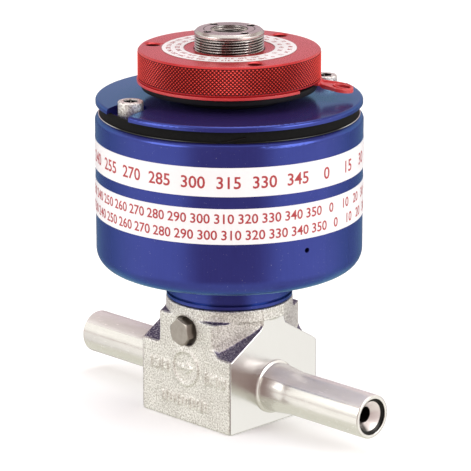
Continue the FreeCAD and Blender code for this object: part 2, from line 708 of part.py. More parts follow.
def drill_valve_body(body):
    """Seat, chamber and thread from above, sockets and passages from the ends, the lock screw's hole."""
    half_length = size.body_length / 2
    half_width = size.body_width / 2
    above = size.ring_height + CUT_OVERRUN
    turn_solid(body, "SeatAndThread", [
        (0, size.flow_height), (size.seat_bore_radius, size.flow_height),
        (size.seat_bore_radius, size.seat_height), (size.seat_lip_radius, size.seat_height),
        (size.seat_lip_radius + size.seat_lip_slope, size.chamber_floor),
        (size.chamber_radius, size.chamber_floor), (size.chamber_radius, size.gasket_height),
        (size.neck_thread_radius, size.gasket_height), (size.neck_thread_radius, size.register_floor),
        (size.register_radius, size.register_floor), (size.register_radius, above), (0, above),
    ], grows=False)
    bore(body, "Riser", "XY_Plane", (size.riser_place, 0), size.riser_radius,
         size.chamber_floor, size.chamber_floor - size.flow_height)
    flow_axis = (0, size.flow_height)
    for name, face, passage, reverse in (
            ("Outlet", half_length, half_length - size.outlet_passage_end, False),
            ("Inlet", -half_length, half_length + size.inlet_passage_end, True)):
        bore(body, name + "Socket", "YZ_Plane", flow_axis, size.tube_radius, face,
             size.socket_depth, reverse)
        bore(body, name + "Passage", "YZ_Plane", flow_axis, size.tube_bore_radius, face,
             passage, reverse)
    screw_axis = (0, size.lock_screw_height)
    bore(body, "LockScrewFace", "XZ_Plane", screw_axis, size.lock_face_radius,
         size.ring_radius, size.ring_radius - half_width + size.lock_face_depth)
    bore(body, "LockScrewHole", "XZ_Plane", screw_axis, size.lock_screw_radius,
         half_width, half_width - size.neck_thread_radius + CUT_OVERRUN)


def make_stub(label, turn):
    """Tube stub: collar at the body's face, counterbored mouth with a drill cone behind it."""
    body = new_body(label)
    face = size.body_length / 2
    mouth_floor = size.tube_reach - size.mouth_depth
    cone_depth = (size.mouth_radius - size.tube_bore_radius) * slope(size.mouth_cone_angle)
    turn_solid(body, "Stub", [
        (face - size.socket_depth, size.tube_bore_radius), (face - size.socket_depth, size.tube_radius),
        (face, size.tube_radius), (face, size.collar_foot_radius),
        (face + size.collar_foot_length, size.collar_radius),
        (face + size.collar_length, size.tube_radius),
        (size.tube_reach - size.tube_end_chamfer, size.tube_radius),
        (size.tube_reach, size.tube_radius - size.tube_end_chamfer),
        (size.tube_reach, size.mouth_radius), (mouth_floor, size.mouth_radius),
        (mouth_floor - cone_depth, size.tube_bore_radius),
    ], axis="H_Axis")
    body.Placement = FreeCAD.Placement(FreeCAD.Vector(0, 0, size.flow_height.number), upright_turn(turn))
    tie(body, "Placement.Base.z", size.flow_height)
    return body


# Lock screw: hexagon screw through the front ear, against the neck's thread
def make_lock_screw():
    body = new_body("lock_screw")
    head_face = size.body_width / 2 - size.lock_face_depth
    sketch = new_sketch(body, "HeadOutline", "XY_Plane")
    draw_outline(sketch, hexagon(size.lock_screw_flats, size.lock_screw_angle))
    pad(body, "Head", sketch, size.lock_screw_head)
    corner = corner_radius(size.lock_screw_flats) + CUT_OVERRUN
    half_flats = size.lock_screw_flats / 2
    drop = (corner - half_flats) * slope(size.lock_screw_bevel_angle)
    turn_solid(body, "Bevel", [(half_flats, size.lock_screw_head), (corner, size.lock_screw_head - drop),
                               (corner, size.lock_screw_head)], grows=False)
    sketch = new_sketch(body, "ShankCircle", "XY_Plane")
    draw_circle(sketch, 0, 0, size.lock_screw_radius)
    pad(body, "Shank", sketch, head_face - size.neck_thread_radius - size.running_gap, reverse=True)
    out_of_front = FreeCAD.Rotation(FreeCAD.Vector(1, 0, 0), 90)
    body.Placement = FreeCAD.Placement(
        FreeCAD.Vector(0, -head_face.number, size.lock_screw_height.number), out_of_front)
    tie(body, "Placement.Base.y", -head_face)
    tie(body, "Placement.Base.z", size.lock_screw_height)
    return body


# Stem, its soft disc and the packing round it
def make_stem():
    body = new_body("stem")
    tip_top = size.rod_end + size.stem_tip_length
    turn_solid(body, "Stem", [
        (0, size.seat_disc_top), (size.seat_disc_radius, size.seat_disc_top),
        (size.seat_disc_radius, size.stem_foot_base), (size.stem_foot_radius, size.stem_foot_base),
        (size.stem_foot_radius, size.stem_foot_top), (size.stem_radius, size.stem_foot_top),
        (size.stem_radius, size.rod_end), (size.stem_tip_radius, size.rod_end),
        (size.stem_tip_radius, tip_top), (0, tip_top),
    ])
    return body


def make_seat_disc():
    body = new_body("seat_disc")
    turn_solid(body, "Disc", [(0, size.seat_height), (size.seat_disc_radius, size.seat_height),
                              (size.seat_disc_radius, size.seat_disc_top), (0, size.seat_disc_top)])
    return body


def make_plain_ring(label, inner, outer, base, top):
    """Plain ring between two radii and two heights."""
    body = new_body(label)
    turn_solid(body, "Ring", [(inner, base), (outer, base), (outer, top), (inner, top)])
    return body


def make_packing_rings():
    """Nested rings with a ridge on top and a hollow below, for the moving stem."""
    body = new_body("packing_ring")
    inner, outer = size.stem_bore, size.packing_radius
    middle = (inner + outer) / 2
    side, crest = size.packing_ring_side, size.packing_ring_crest
    turn_solid(body, "Ring", [(inner, 0), (middle, crest), (outer, 0),
                              (outer, side), (middle, side + crest), (inner, side)])
    heights = [(size.packing_start + size.packing_ring_pitch * number).number
               for number in range(size.packing_ring_count.number)]
    places = [FreeCAD.Placement(FreeCAD.Vector(0, 0, height), FreeCAD.Rotation()) for height in heights]
    return group_of("stem_seals", body, places)


def make_gland_bush():
    """Bush that holds the packing down and guides the rod's tail."""
    body = new_body("gland_bush")
    tail_bore = size.rod_tail_radius + size.running_gap
    step = size.rod_end - size.stop_gap
    turn_solid(body, "Bush", [
        (size.stem_bore, size.packing_end), (size.packing_radius, size.packing_end),
        (size.packing_radius, size.well_floor), (tail_bore, size.well_floor),
        (tail_bore, step), (size.stem_bore, step),
    ])
    return body


# Actuator housing: turned cup with its neck, tapped for the cover screws and vented
def make_housing():
    body = new_body("actuator_housing")
    groove_base = size.neck_foot + size.neck_lip
    groove_top = groove_base + size.neck_groove_width
    groove_radius = size.neck_radius - size.neck_groove_depth
    web_bore = size.stem_radius + size.web_gap
    turn_solid(body, "Cup", [
        (web_bore, size.spigot_end), (size.neck_thread_radius, size.spigot_end),
        (size.neck_thread_radius, size.register_floor), (size.register_radius, size.register_floor),
        (size.register_radius, size.neck_foot), (size.neck_radius, size.neck_foot),
        (size.neck_radius, groove_base), (groove_radius, groove_base),
        (groove_radius, groove_top), (size.neck_radius, groove_top),
        (size.neck_radius, size.housing_base),
        (size.housing_radius, size.housing_base, size.housing_base_round),
        (size.housing_radius, size.housing_shoulder, size.housing_shoulder_round),
        (size.housing_rim_radius, size.housing_shoulder), (size.housing_rim_radius, size.housing_rim),
        (size.cylinder_radius, size.housing_rim), (size.cylinder_radius, size.cylinder_floor),
        (size.well_radius, size.cylinder_floor), (size.well_radius, size.well_floor),
        (size.packing_radius, size.well_floor), (size.packing_radius, size.packing_floor),
        (web_bore, size.packing_floor),
    ])
    centre = (size.screw_circle * cosine(size.screw_angle), size.screw_circle * sine(size.screw_angle))
    shank_in_housing = size.screw_length - (size.notch_floor - size.housing_rim)
    hole = bore(body, "ScrewHole", "XY_Plane", centre, size.screw_radius, size.housing_rim,
                shank_in_housing + size.screw_hole_end)
    repeat_round(body, "ScrewHoles", hole, size.screw_count)
    sketch = new_sketch(body, "VentCircle", "YZ_Plane", turn=size.vent_angle)
    draw_circle(sketch, 0, size.vent_height, size.vent_radius)
    pocket(body, "Vent", sketch, size.housing_radius + CUT_OVERRUN, reverse=True)
    return body


# Piston, rod and nut: one stack that the air lifts against the springs
def make_piston():
    body = new_body("piston")
    hub_top = size.cover_base - size.travel - size.stop_gap
    turn_solid(body, "Piston", [
        (size.rod_tail_radius, size.piston_base), (size.piston_radius, size.piston_base),
        (size.piston_radius, size.piston_top), (size.piston_hub_radius, size.piston_top),
        (size.piston_hub_radius, hub_top), (size.rod_radius, hub_top),
        (size.rod_radius, size.piston_top), (size.rod_tail_radius, size.piston_top),
    ])
    ring_groove(body, "SealGroove", size.piston_radius - size.seal_groove_depth, size.piston_radius,
                size.piston_seal_height, size.seal_groove_width)
    return body


def make_piston_rod():
    """Hollow rod: screwed to the stem below, open for the port bush on top."""
    body = new_body("piston_rod")
    tip_top = size.rod_end + size.stem_tip_length
    shoulder = size.rod_top - size.rod_chamfer
    turn_solid(body, "Rod", [
        (size.stem_tip_radius, size.rod_end), (size.rod_tail_radius, size.rod_end),
        (size.rod_tail_radius, size.piston_top), (size.rod_radius, size.piston_top),
        (size.rod_radius, shoulder), (size.rod_radius - size.rod_chamfer, size.rod_top),
        (size.port_bush_radius, size.rod_top), (size.port_bush_radius, size.port_bush_base),
        (size.air_way_radius, size.port_bush_base), (size.air_way_radius, tip_top),
        (size.stem_tip_radius, tip_top),
    ])
    sketch = new_sketch(body, "AirOutletCircle", "XZ_Plane")
    draw_circle(sketch, 0, size.air_outlet_height, size.air_outlet_radius)
    pocket(body, "AirOutlet", sketch, size.rod_tail_radius * 2 + CUT_OVERRUN, both_ways=True)
    drill_key_holes(body)
    return body


def drill_key_holes(body):
    """Key holes on the joint between the rod and its bush."""
    centre = (size.key_hole_circle * cosine(size.key_hole_angle),
              size.key_hole_circle * sine(size.key_hole_angle))
    hole = bore(body, "KeyHole", "XY_Plane", centre, size.key_hole_radius, size.rod_top,
                size.key_hole_depth)
    repeat_round(body, "KeyHoles", hole, size.key_hole_count)


def make_port_bush():
    """Bush in the end of the rod with the tapped air port."""
    body = new_body("port_bush")
    mouth_floor = size.rod_top - size.port_mouth_depth
    port_base = size.port_bush_base + size.port_floor
    turn_solid(body, "Bush", [
        (size.air_way_radius, size.port_bush_base), (size.port_bush_radius, size.port_bush_base),
        (size.port_bush_radius, size.rod_top), (size.port_mouth_radius, size.rod_top),
        (size.port_mouth_radius, mouth_floor), (size.port_radius, mouth_floor),
        (size.port_radius, port_base), (size.air_way_radius, port_base),
    ])
    drill_key_holes(body)
    return body


def make_piston_nut():
    body = new_body("piston_nut")
    sketch = new_sketch(body, "NutOutline", "XY_Plane", size.piston_base - size.nut_height)
    draw_outline(sketch, hexagon(size.nut_flats))
    pad(body, "Nut", sketch, size.nut_height)
    bore(body, "NutThread", "XY_Plane", (0, 0), size.rod_tail_radius, size.piston_base,
         size.nut_height + CUT_OVERRUN)
    return body


def make_disc_springs():
    """Cupped discs, stacked face to face and back to back between piston and cover."""
    disc = new_body("disc_spring")
    inner, outer = size.spring_inner_radius, size.spring_outer_radius
    cup = size.spring_pitch - size.spring_thickness
    turn_solid(disc, "Disc", [(inner, cup), (outer, 0), (outer, size.spring_thickness),
                              (inner, size.spring_pitch)])
    upside_down = FreeCAD.Rotation(FreeCAD.Vector(1, 0, 0), 180)
    places = []
    for number in range(size.spring_count.number):
        base = (size.piston_top + size.spring_pitch * number).number
        if number % 2:
            turned_base = base + size.spring_pitch.number
            places.append(FreeCAD.Placement(FreeCAD.Vector(0, 0, turned_base), upside_down))
        else:
            places.append(FreeCAD.Placement(FreeCAD.Vector(0, 0, base), FreeCAD.Rotation()))
    return group_of("disc_springs", disc, places)


# Cover: plug with a thin flange, notched at its rim for the heads of the cover screws
def make_cover():
    body = new_body("cover")
    skirt = size.piston_radius
    turn_solid(body, "Cover", [
        (size.rod_bore, size.cover_base), (skirt, size.cover_base), (skirt, size.housing_rim),
        (size.housing_rim_radius, size.housing_rim),
        (size.housing_rim_radius, size.cover_rim_underside),
        (size.cover_radius, size.cover_rim_underside),
        (size.cover_radius, size.cover_top, size.cover_rim_round), (size.rod_bore, size.cover_top),
    ])
    ring_groove(body, "CoverSealGroove", skirt - size.seal_groove_depth, skirt,
                size.cover_seal_height, size.seal_groove_width)
    for number in range(1, size.rod_seal_count.number + 1):
        ring_groove(body, f"RodSealGroove{number}", size.rod_bore, size.rod_bore + size.seal_groove_depth,
                    rod_seal_height(number), size.seal_groove_width)
    sketch = new_sketch(body, "NotchOutline", "XY_Plane", size.cover_top)
    beyond = size.cover_radius
    draw_outline(sketch, [
        (*notch_corner(-size.notch_far_wall, -size.notch_far_wall), size.notch_end_round),
        notch_corner(beyond, -size.notch_far_wall), notch_corner(beyond, size.notch_near_wall),
        (*notch_corner(-size.notch_far_wall, size.notch_near_wall), size.notch_end_round),
    ])
    notch = pocket(body, "Notch", sketch, size.cover_top - size.notch_floor)
    repeat_round(body, "Notches", notch, size.screw_count)
    hole = bore(body, "ScrewHole", "XY_Plane", (size.screw_circle, 0),
                size.screw_radius + size.screw_hole_gap, size.notch_floor,
                size.notch_floor - size.housing_rim + CUT_OVERRUN)
    repeat_round(body, "ScrewHoles", hole, size.screw_count)
    body.Placement = FreeCAD.Placement(FreeCAD.Vector(), upright_turn(size.screw_angle.number))
    tie(body, "Placement.Rotation.Angle", size.screw_angle)
    return body


def notch_corner(along, aside):
    """Point of a notch, measured from its screw along the turned notch and across it."""
    along_x, along_y = cosine(size.notch_turn_angle), sine(size.notch_turn_angle)
    return size.screw_circle + along * along_x - aside * along_y, along * along_y + aside * along_x


def rod_seal_height(number):
    """Height of a rod seal, counted from 1 at the bottom."""
    return size.cover_base + size.rod_seal_pitch * number


def make_cover_screws():
    """Socket head screws, seated in the cover's notches."""
    screw = new_body("cover_screw")
    turn_solid(screw, "Screw", [
        (0, -size.screw_length), (size.screw_radius, -size.screw_length), (size.screw_radius, 0),
        (size.screw_head_radius, 0),
        (size.screw_head_radius, size.screw_head_height, size.screw_head_round),
        (0, size.screw_head_height),
    ])
    sketch = new_sketch(screw, "SocketOutline", "XY_Plane", size.screw_head_height)
    draw_outline(sketch, hexagon(size.screw_socket_flats))
    pocket(screw, "Socket", sketch, size.screw_socket_depth)
    places = []
    for number in range(size.screw_count.number):
        turn = upright_turn(size.screw_angle.number + 360 * number / size.screw_count.number)
        centre = FreeCAD.Vector(size.screw_circle.number, 0, size.notch_floor.number)
        places.append(FreeCAD.Placement(turn.multVec(centre), turn))
    return group_of("cover_screws", screw, places)


def make_retaining_wire():
    """Wire lying on the housing's shoulder, with one free end that lifts off it."""
    cord_radius = size.edge_seal_radius + size.wire_radius
    height = size.housing_shoulder + size.wire_radius
    lying = doc.addObject("Part::Torus", "WireLying")
    tie(lying, "Angle3", size.wire_sweep_angle)
    rising = doc.addObject("Part::Torus", "WireRising")
    tie(rising, "Angle3", size.wire_end_angle)
    for arc, radius in ((lying, size.wire_radius), (rising, size.wire_radius - size.wire_end_step)):
        tie(arc, "Radius1", cord_radius)
        tie(arc, "Radius2", radius)
        tie(arc, "Placement.Base.z", height)
    lying.Placement = FreeCAD.Placement(FreeCAD.Vector(0, 0, height.number),
                                        upright_turn(size.wire_start_angle.number))
    lift_turn = upright_turn(size.wire_lift_angle.number)
    tilt = FreeCAD.Rotation(lift_turn.multVec(FreeCAD.Vector(1, 0, 0)), size.wire_tilt_angle.number)
    rising.Placement = FreeCAD.Placement(FreeCAD.Vector(0, 0, height.number), tilt.multiply(lift_turn))
    wire = doc.addObject("Part::Fuse", "retaining_wire")
    wire.Label = "retaining_wire"
    wire.Base = lying
    wire.Tool = rising
    return wire


# Thrust ring: flanged ring on the cover that carries the clip and the override ring
def make_thrust_ring():
    body = new_body("thrust_ring")
    inner = size.rod_radius + size.thrust_ring_gap
    turn_solid(body, "Ring", [
        (inner, size.cover_top), (size.thrust_hub_radius, size.cover_top),
        (size.thrust_hub_radius, size.thrust_flange_base),
        (size.thrust_ring_radius, size.thrust_flange_base),
        (size.thrust_ring_radius, size.thrust_ring_top), (inner, size.thrust_ring_top),
    ])
    return body


# Lock clip: open plastic washer with a bent pull tab, between the thrust ring and the override ring
def make_lock_clip():
    body = new_body("lock_clip")
    make_clip_tab(body)
    turn_solid(body, "Washer", [(size.clip_bore, size.clip_base), (size.clip_radius, size.clip_base),
                                (size.clip_radius, size.clip_top), (size.clip_bore, size.clip_top)])
    beyond = size.clip_radius * 2
    first = size.clip_mouth_start_angle - size.clip_tab_angle
    last = size.clip_mouth_end_angle - size.clip_tab_angle
    sketch = new_sketch(body, "MouthOutline", "XY_Plane", size.clip_top)
    draw_outline(sketch, [(0, 0), (beyond * cosine(first), beyond * sine(first)),
                          (beyond * cosine(last), beyond * sine(last))])
    pocket(body, "Mouth", sketch, size.clip_thickness)
    body.Placement = FreeCAD.Placement(FreeCAD.Vector(), upright_turn(size.clip_tab_angle.number))
    tie(body, "Placement.Rotation.Angle", size.clip_tab_angle)
    return body


def make_clip_tab(body):
    """Tab with a waist and an eye, cut from a blank by its bent upper and lower sides."""
    root = size.clip_tab_start - size.clip_thickness
    head = size.clip_tab_reach - size.clip_tab_half_width
    half_width, waist = size.clip_tab_half_width, size.clip_tab_half_width - size.clip_tab_waist
    lowest = size.clip_base - size.clip_tab_fall
    sketch = new_sketch(body, "TabOutline", "XY_Plane", lowest)
    draw_outline(sketch, [
        (root, -waist), (size.clip_radius, -waist), (head, -half_width),
        (size.clip_tab_reach, -half_width, size.clip_tab_round),
        (size.clip_tab_reach, half_width, size.clip_tab_round),
        (head, half_width), (size.clip_radius, waist), (root, waist),
    ])
    pad(body, "TabBlank", sketch, size.clip_top - lowest)
    across = half_width * 2 + CUT_OVERRUN
    end = size.clip_tab_reach + CUT_OVERRUN
    above, below = size.clip_top + CUT_OVERRUN, lowest - CUT_OVERRUN
    sketch = new_sketch(body, "TabUpperSideOutline", "XZ_Plane")
    draw_outline(sketch, [*bent_side(size.clip_top, end), (end, above), (size.clip_tab_start, above)])
    pocket(body, "TabUpperSide", sketch, across, both_ways=True)
    sketch = new_sketch(body, "TabLowerSideOutline", "XZ_Plane")
    behind = root - CUT_OVERRUN
    draw_outline(sketch, [(behind, size.clip_base), *bent_side(size.clip_base, end), (end, below),
                          (behind, below)])
    pocket(body, "TabLowerSide", sketch, across, both_ways=True)
    bore(body, "Eye", "XY_Plane", (size.clip_eye_place, 0), size.clip_eye_radius, size.clip_top,
         size.clip_top - lowest)


def bent_side(level, end):
    """Side view of a face of the tab: bent down from its level, then drooping to the end."""
    droop = size.clip_tab_droop / (size.clip_tab_reach - size.clip_tab_knee)
    knee_level = level - size.clip_tab_step
    return [(size.clip_tab_start, level), (size.clip_tab_knee, knee_level),
            (end, knee_level - droop * (end - size.clip_tab_knee))]


# Override ring: knurled hand ring on the rod's thread, with spanner holes and a printed label
def make_override_ring():
    body = new_body("override_ring")
    inner = size.rod_radius + size.hand_ring_gap
    bevel = size.hand_ring_bevel
    turn_solid(body, "HandRing", [
        (inner + bevel, size.hand_ring_base), (size.hand_ring_radius - bevel, size.hand_ring_base),
        (size.hand_ring_radius, size.hand_ring_base + bevel),
        (size.hand_ring_radius, size.hand_ring_top - bevel),
        (size.hand_ring_radius - bevel, size.hand_ring_top), (inner + bevel, size.hand_ring_top),
        (inner, size.hand_ring_top - bevel), (inner, size.hand_ring_base + bevel),
    ])
    centre = (size.spanner_hole_circle * cosine(size.spanner_hole_angle),
              size.spanner_hole_circle * sine(size.spanner_hole_angle))
    hole = bore(body, "SpannerHole", "XY_Plane", centre, size.spanner_hole_radius, size.hand_ring_top,
                size.spanner_hole_depth)
    repeat_round(body, "SpannerHoles", hole, size.spanner_hole_count)
    return body


def make_parts():
    """Every sub-part, from the body upwards."""
    valve_body = make_valve_body()
    drill_valve_body(valve_body)
    seal_in_cylinder = size.piston_radius - size.seal_cord_radius
    band_radius = size.housing_radius + size.label_thickness
    parts = [
        valve_body,
        make_stub("inlet_stub", 180),
        make_stub("outlet_stub", 0),
        make_lock_screw(),
        make_stem(),
        make_seat_disc(),
        make_plain_ring("neck_gasket", size.chamber_radius, size.neck_thread_radius,
                        size.gasket_height, size.spigot_end),
        make_plain_ring("packing_washer", size.stem_bore, size.packing_radius,
                        size.packing_floor, size.packing_start),
        make_packing_rings(),
        make_gland_bush(),
        make_housing(),
        make_piston(),
        sealing_ring("piston_seal", seal_in_cylinder, size.piston_seal_height),
        make_piston_nut(),
        make_piston_rod(),
        make_port_bush(),
        make_disc_springs(),
        make_cover(),
        sealing_ring("cover_seal", seal_in_cylinder, size.cover_seal_height),
        make_cover_screws(),
        make_plain_ring("edge_seal", size.housing_rim_radius, size.edge_seal_radius,
                        size.housing_shoulder, size.cover_rim_underside - size.edge_seal_gap),
        make_retaining_wire(),
        make_thrust_ring(),
        make_lock_clip(),
        make_override_ring(),
        make_plain_ring("ring_label", size.rod_radius + size.ring_label_gap,
                        size.hand_ring_radius - size.ring_label_inset,
                        size.hand_ring_top, size.hand_ring_top + size.label_thickness),
        make_plain_ring("band_label_upper", size.housing_radius, band_radius,
                        size.upper_band_low, size.upper_band_high),
        make_plain_ring("band_label_lower", size.housing_radius, band_radius,
                        size.lower_band_low, size.lower_band_high),
    ]
    rod_seal_radius = size.rod_bore + size.seal_cord_radius
    seals = [sealing_ring(f"RodSeal{number}", rod_seal_radius, rod_seal_height(number))
             for number in range(1, size.rod_seal_count.number + 1)]
    rod_seals = doc.addObject("Part::Compound", "rod_seals")
    rod_seals.Label = "rod_seals"
    rod_seals.Links = seals
    parts.append(rod_seals)
    return parts


def check_and_write(parts):
    """Refuse a failed object or a bad solid, then write each sub-part to its own file."""
    doc.recompute()
    for thing in doc.Objects:
        if "Invalid" in thing.State or "Error" in thing.State:
            raise RuntimeError(f"{thing.Name} failed: {thing.State}")
    os.makedirs("parts", exist_ok=True)
    for part in parts:
        if part.Shape.isNull() or not part.Shape.isValid() or not part.Shape.Solids:
            raise RuntimeError(f"{part.Label} has no valid solid")
        part.Shape.exportStep(os.path.join("parts", part.Label + ".step"))
        print(f"{part.Label}: {len(part.Shape.Solids)} solid(s), {part.Shape.Volume:.1f} mm3")


check_and_write(make_parts())
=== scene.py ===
"""Looks of a high pressure gas valve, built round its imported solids.

Metres, +Z up, the flow along X. The lock screw looks along -Y.
"""

import math

import bmesh
import bpy
from mathutils import Matrix, Vector


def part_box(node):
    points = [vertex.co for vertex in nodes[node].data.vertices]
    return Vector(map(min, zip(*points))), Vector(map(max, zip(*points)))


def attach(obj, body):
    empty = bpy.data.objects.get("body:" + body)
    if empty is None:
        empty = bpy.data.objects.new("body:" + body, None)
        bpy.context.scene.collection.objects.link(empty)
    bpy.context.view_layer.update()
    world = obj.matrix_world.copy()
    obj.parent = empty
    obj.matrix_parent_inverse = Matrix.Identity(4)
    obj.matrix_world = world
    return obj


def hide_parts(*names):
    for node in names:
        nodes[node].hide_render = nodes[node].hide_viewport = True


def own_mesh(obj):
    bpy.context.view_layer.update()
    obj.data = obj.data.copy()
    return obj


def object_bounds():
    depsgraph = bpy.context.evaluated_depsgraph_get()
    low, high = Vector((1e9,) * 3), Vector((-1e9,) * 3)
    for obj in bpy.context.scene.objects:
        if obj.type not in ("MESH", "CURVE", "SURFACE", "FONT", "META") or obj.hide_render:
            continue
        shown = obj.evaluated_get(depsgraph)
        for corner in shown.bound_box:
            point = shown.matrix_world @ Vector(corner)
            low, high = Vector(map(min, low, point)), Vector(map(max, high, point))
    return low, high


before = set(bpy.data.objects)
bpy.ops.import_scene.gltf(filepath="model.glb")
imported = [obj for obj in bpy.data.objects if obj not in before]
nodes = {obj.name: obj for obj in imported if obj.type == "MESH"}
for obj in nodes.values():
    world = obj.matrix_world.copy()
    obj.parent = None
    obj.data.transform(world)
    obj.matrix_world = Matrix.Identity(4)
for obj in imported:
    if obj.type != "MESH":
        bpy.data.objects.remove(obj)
cad_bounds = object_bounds()


# Valve body: a stainless forging, shot blasted all over. Its two ends are machined flat and polished for
# the stubs, and the ring on top is faced for the actuator. The front carries raised plain marks: an arrow
# in a ring, and three rows of bars that the forging die left.
MM = 0.001
FULL_TURN = 2 * math.pi
SAME_POINT = 0.001 * MM
# Places of the colour sockets of a Mix node.
MIX_FIRST, MIX_SECOND, MIX_RESULT = 6, 7, 2


class Signal:
    """A socket of a material, with arithmetic written as Python expressions."""

    def __init__(self, maker, socket):
        self.maker = maker
        self.socket = socket

    def math(self, operation, *values):
        return self.maker.node("Math", {"operation": operation}, dict(enumerate((self, *values))))

    def __add__(self, other):
        return self.math("ADD", other)

    def __sub__(self, other):
        return self.math("SUBTRACT", other)

    def __mul__(self, other):
        return self.math("MULTIPLY", other)

    def __rsub__(self, other):
        return self.maker.node("Math", {"operation": "SUBTRACT"}, {0: other, 1: self})

    def __abs__(self):
        return self.math("ABSOLUTE")

    def least(self, other):
        return self.math("MINIMUM", other)

    __radd__ = __add__
    __rmul__ = __mul__

    def between(self, low, high):
        """0 below low, 1 above high, and a smooth way between them."""
        settings = {"interpolation_type": "SMOOTHSTEP"}
        return self.maker.node("MapRange", settings, {"Value": self, "From Min": low, "From Max": high})

    def inside(self, low, high, edge):
        """1 between low and high, fading to 0 over edge outside them."""
        return self.between(low - edge, low) * (1 - self.between(high, high + edge))


class NodeMaker:
    """Adds nodes to one tree."""

    def __init__(self, tree):
        self.tree = tree

    def node(self, kind, settings=None, sockets=None, output=0):
        """One node: its settings first, then the values or links of its sockets."""
        made = self.tree.nodes.new("ShaderNode" + kind)
        for name, value in (settings or {}).items():
            if name == "stops":
                self.set_stops(made.color_ramp, value)
            else:
                setattr(made, name, value)
        for name, value in (sockets or {}).items():
            self.feed(made.inputs[name], value)
        return Signal(self, made.outputs[output])

    def set_stops(self, ramp, stops):
        while len(ramp.elements) < len(stops):
            ramp.elements.new(1)
        for element, (position, colour) in zip(ramp.elements, stops):
            element.position = position
            element.color = (*colour, 1)

    def feed(self, socket, value):
        if isinstance(value, Signal):
            self.tree.links.new(value.socket, socket)
        elif isinstance(value, tuple) and len(value) == 3 and socket.type == "RGBA":
            socket.default_value = (*value, 1)
        else:
            socket.default_value = value

    def part(self, vector, axis):
        """One of a vector's three parts."""
        return self.node("SeparateXYZ", sockets={0: vector}, output=axis)

    def blend(self, share, first, second):
        """First colour at 0, second at 1."""
        sockets = {0: share, MIX_FIRST: first, MIX_SECOND: second}
        return self.node("Mix", {"data_type": "RGBA"}, sockets, output=MIX_RESULT)


class Finish(NodeMaker):
    """A material whose nodes feed one Principled shader."""

    def __init__(self, name, **constants):
        self.material = bpy.data.materials.new(name)
        self.material.use_nodes = True
        super().__init__(self.material.node_tree)
        self.shader = self.tree.nodes["Principled BSDF"]
        self.set(**constants)

    def set(self, **values):
        """Values or links of the shader's sockets, with _ for the spaces in their names."""
        for name, value in values.items():
            self.feed(self.shader.inputs[name.replace("_", " ")], value)

    def place(self):
        """Position on the piece, in metres."""
        return self.node("TexCoord", output="Object")

    def grain(self, here, size, detail=3.0, stretch=(1.0, 1.0, 1.0), roughness=0.5):
        """Noise from 0 to 1 whose features are about this large; stretch lengthens them along an axis."""
        scale = tuple(1 / factor for factor in stretch)
        if stretch != (1.0, 1.0, 1.0):
            here = self.node("VectorMath", {"operation": "MULTIPLY"}, {0: here, 1: scale})
        sockets = {"Vector": here, "Scale": 1 / size, "Detail": detail, "Roughness": roughness}
        return self.node("TexNoise", sockets=sockets)

    def from_axis(self, here, along="Z", through=(0.0, 0.0, 0.0)):
        """Distance from a line that runs along X, Y or Z through a point."""
        across = tuple(0.0 if name == along else 1.0 for name in "XYZ")
        offset = self.node("VectorMath", {"operation": "SUBTRACT"}, {0: here, 1: through})
        flat = self.node("VectorMath", {"operation": "MULTIPLY"}, {0: offset, 1: across})
        return self.node("VectorMath", {"operation": "LENGTH"}, {0: flat}, output="Value")

    def upward(self):
        """How far the surface faces up, from -1 to 1."""
        return self.part(self.node("NewGeometry", output="Normal"), "Z")

    def bump(self, height, depth):
        """Raise the surface by height times depth metres."""
        self.set(Normal=self.node("Bump", sockets={"Height": height, "Distance": depth}))


def new_piece(name, mesh):
    piece = bpy.data.objects.new(name, mesh)
    bpy.context.collection.objects.link(piece)
    return piece


def paint(piece, finish):
    piece.data.materials.clear()
    piece.data.materials.append(finish.material)


def fit_out(piece, finish, body, slot, *replaced):
    """Give a new piece its finish and its body, and hide the nodes that it stands for."""
    paint(piece, finish)
    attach(piece, body)
    if replaced:
        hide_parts(*replaced)


def apply_modifiers(piece):
    """Work the piece's modifiers into its mesh."""
    shape = piece.evaluated_get(bpy.context.evaluated_depsgraph_get())
    mesh = bpy.data.meshes.new_from_object(shape)
    piece.modifiers.clear()
    piece.data = mesh


def extruded(outlines, place, thickness):
    """Flat plate from closed 2-D outlines, the first its edge and the others its holes; place puts it."""
    plate = bmesh.new()
    for outline in outlines:
        corners = [plate.verts.new((across, up, 0)) for across, up in outline]
        for number, corner in enumerate(corners):
            plate.edges.new((corners[number - 1], corner))
    bmesh.ops.triangle_fill(plate, edges=plate.edges, use_beauty=True)
    grown = bmesh.ops.extrude_face_region(plate, geom=plate.faces[:])
    raised = [item for item in grown["geom"] if isinstance(item, bmesh.types.BMVert)]
    bmesh.ops.translate(plate, verts=raised, vec=(0, 0, thickness))
    bmesh.ops.recalc_face_normals(plate, faces=plate.faces)
    bmesh.ops.transform(plate, matrix=place, verts=plate.verts)
    return plate


def polar(radius, angle, centre=(0, 0)):
    """Point at this distance and angle from a centre."""
    return centre[0] + radius * math.cos(angle), centre[1] + radius * math.sin(angle)


def circle(radius, count, centre=(0, 0), first=0.0):
    """Points evenly round a centre, the first at this angle."""
    return [polar(radius, first + FULL_TURN * number / count, centre) for number in range(count)]


def to_mesh(name, form):
    mesh = bpy.data.meshes.new(name)
    form.to_mesh(mesh)
    form.free()
    return mesh


FACE_X = 18.3 * MM
FRONT_Y = -18.0 * MM
LEDGE_Z = 31.7 * MM
MARK_Z = 16.7 * MM
MARK_HEIGHT = 0.45 * MM
MARK_ROOT = 1.0 * MM
MARK_RING = (5.5 * MM, 4.6 * MM)
MARK_STEPS = 64
ARROW = [(across * MM, up * MM) for across, up in
         ((-3.0, -0.55), (0.5, -0.55), (0.5, -1.7), (3.1, 0.0), (0.5, 1.7), (0.5, 0.55), (-3.0, 0.55))]
LONG_BAR, SHORT_BAR = 3.4 * MM, 2.4 * MM
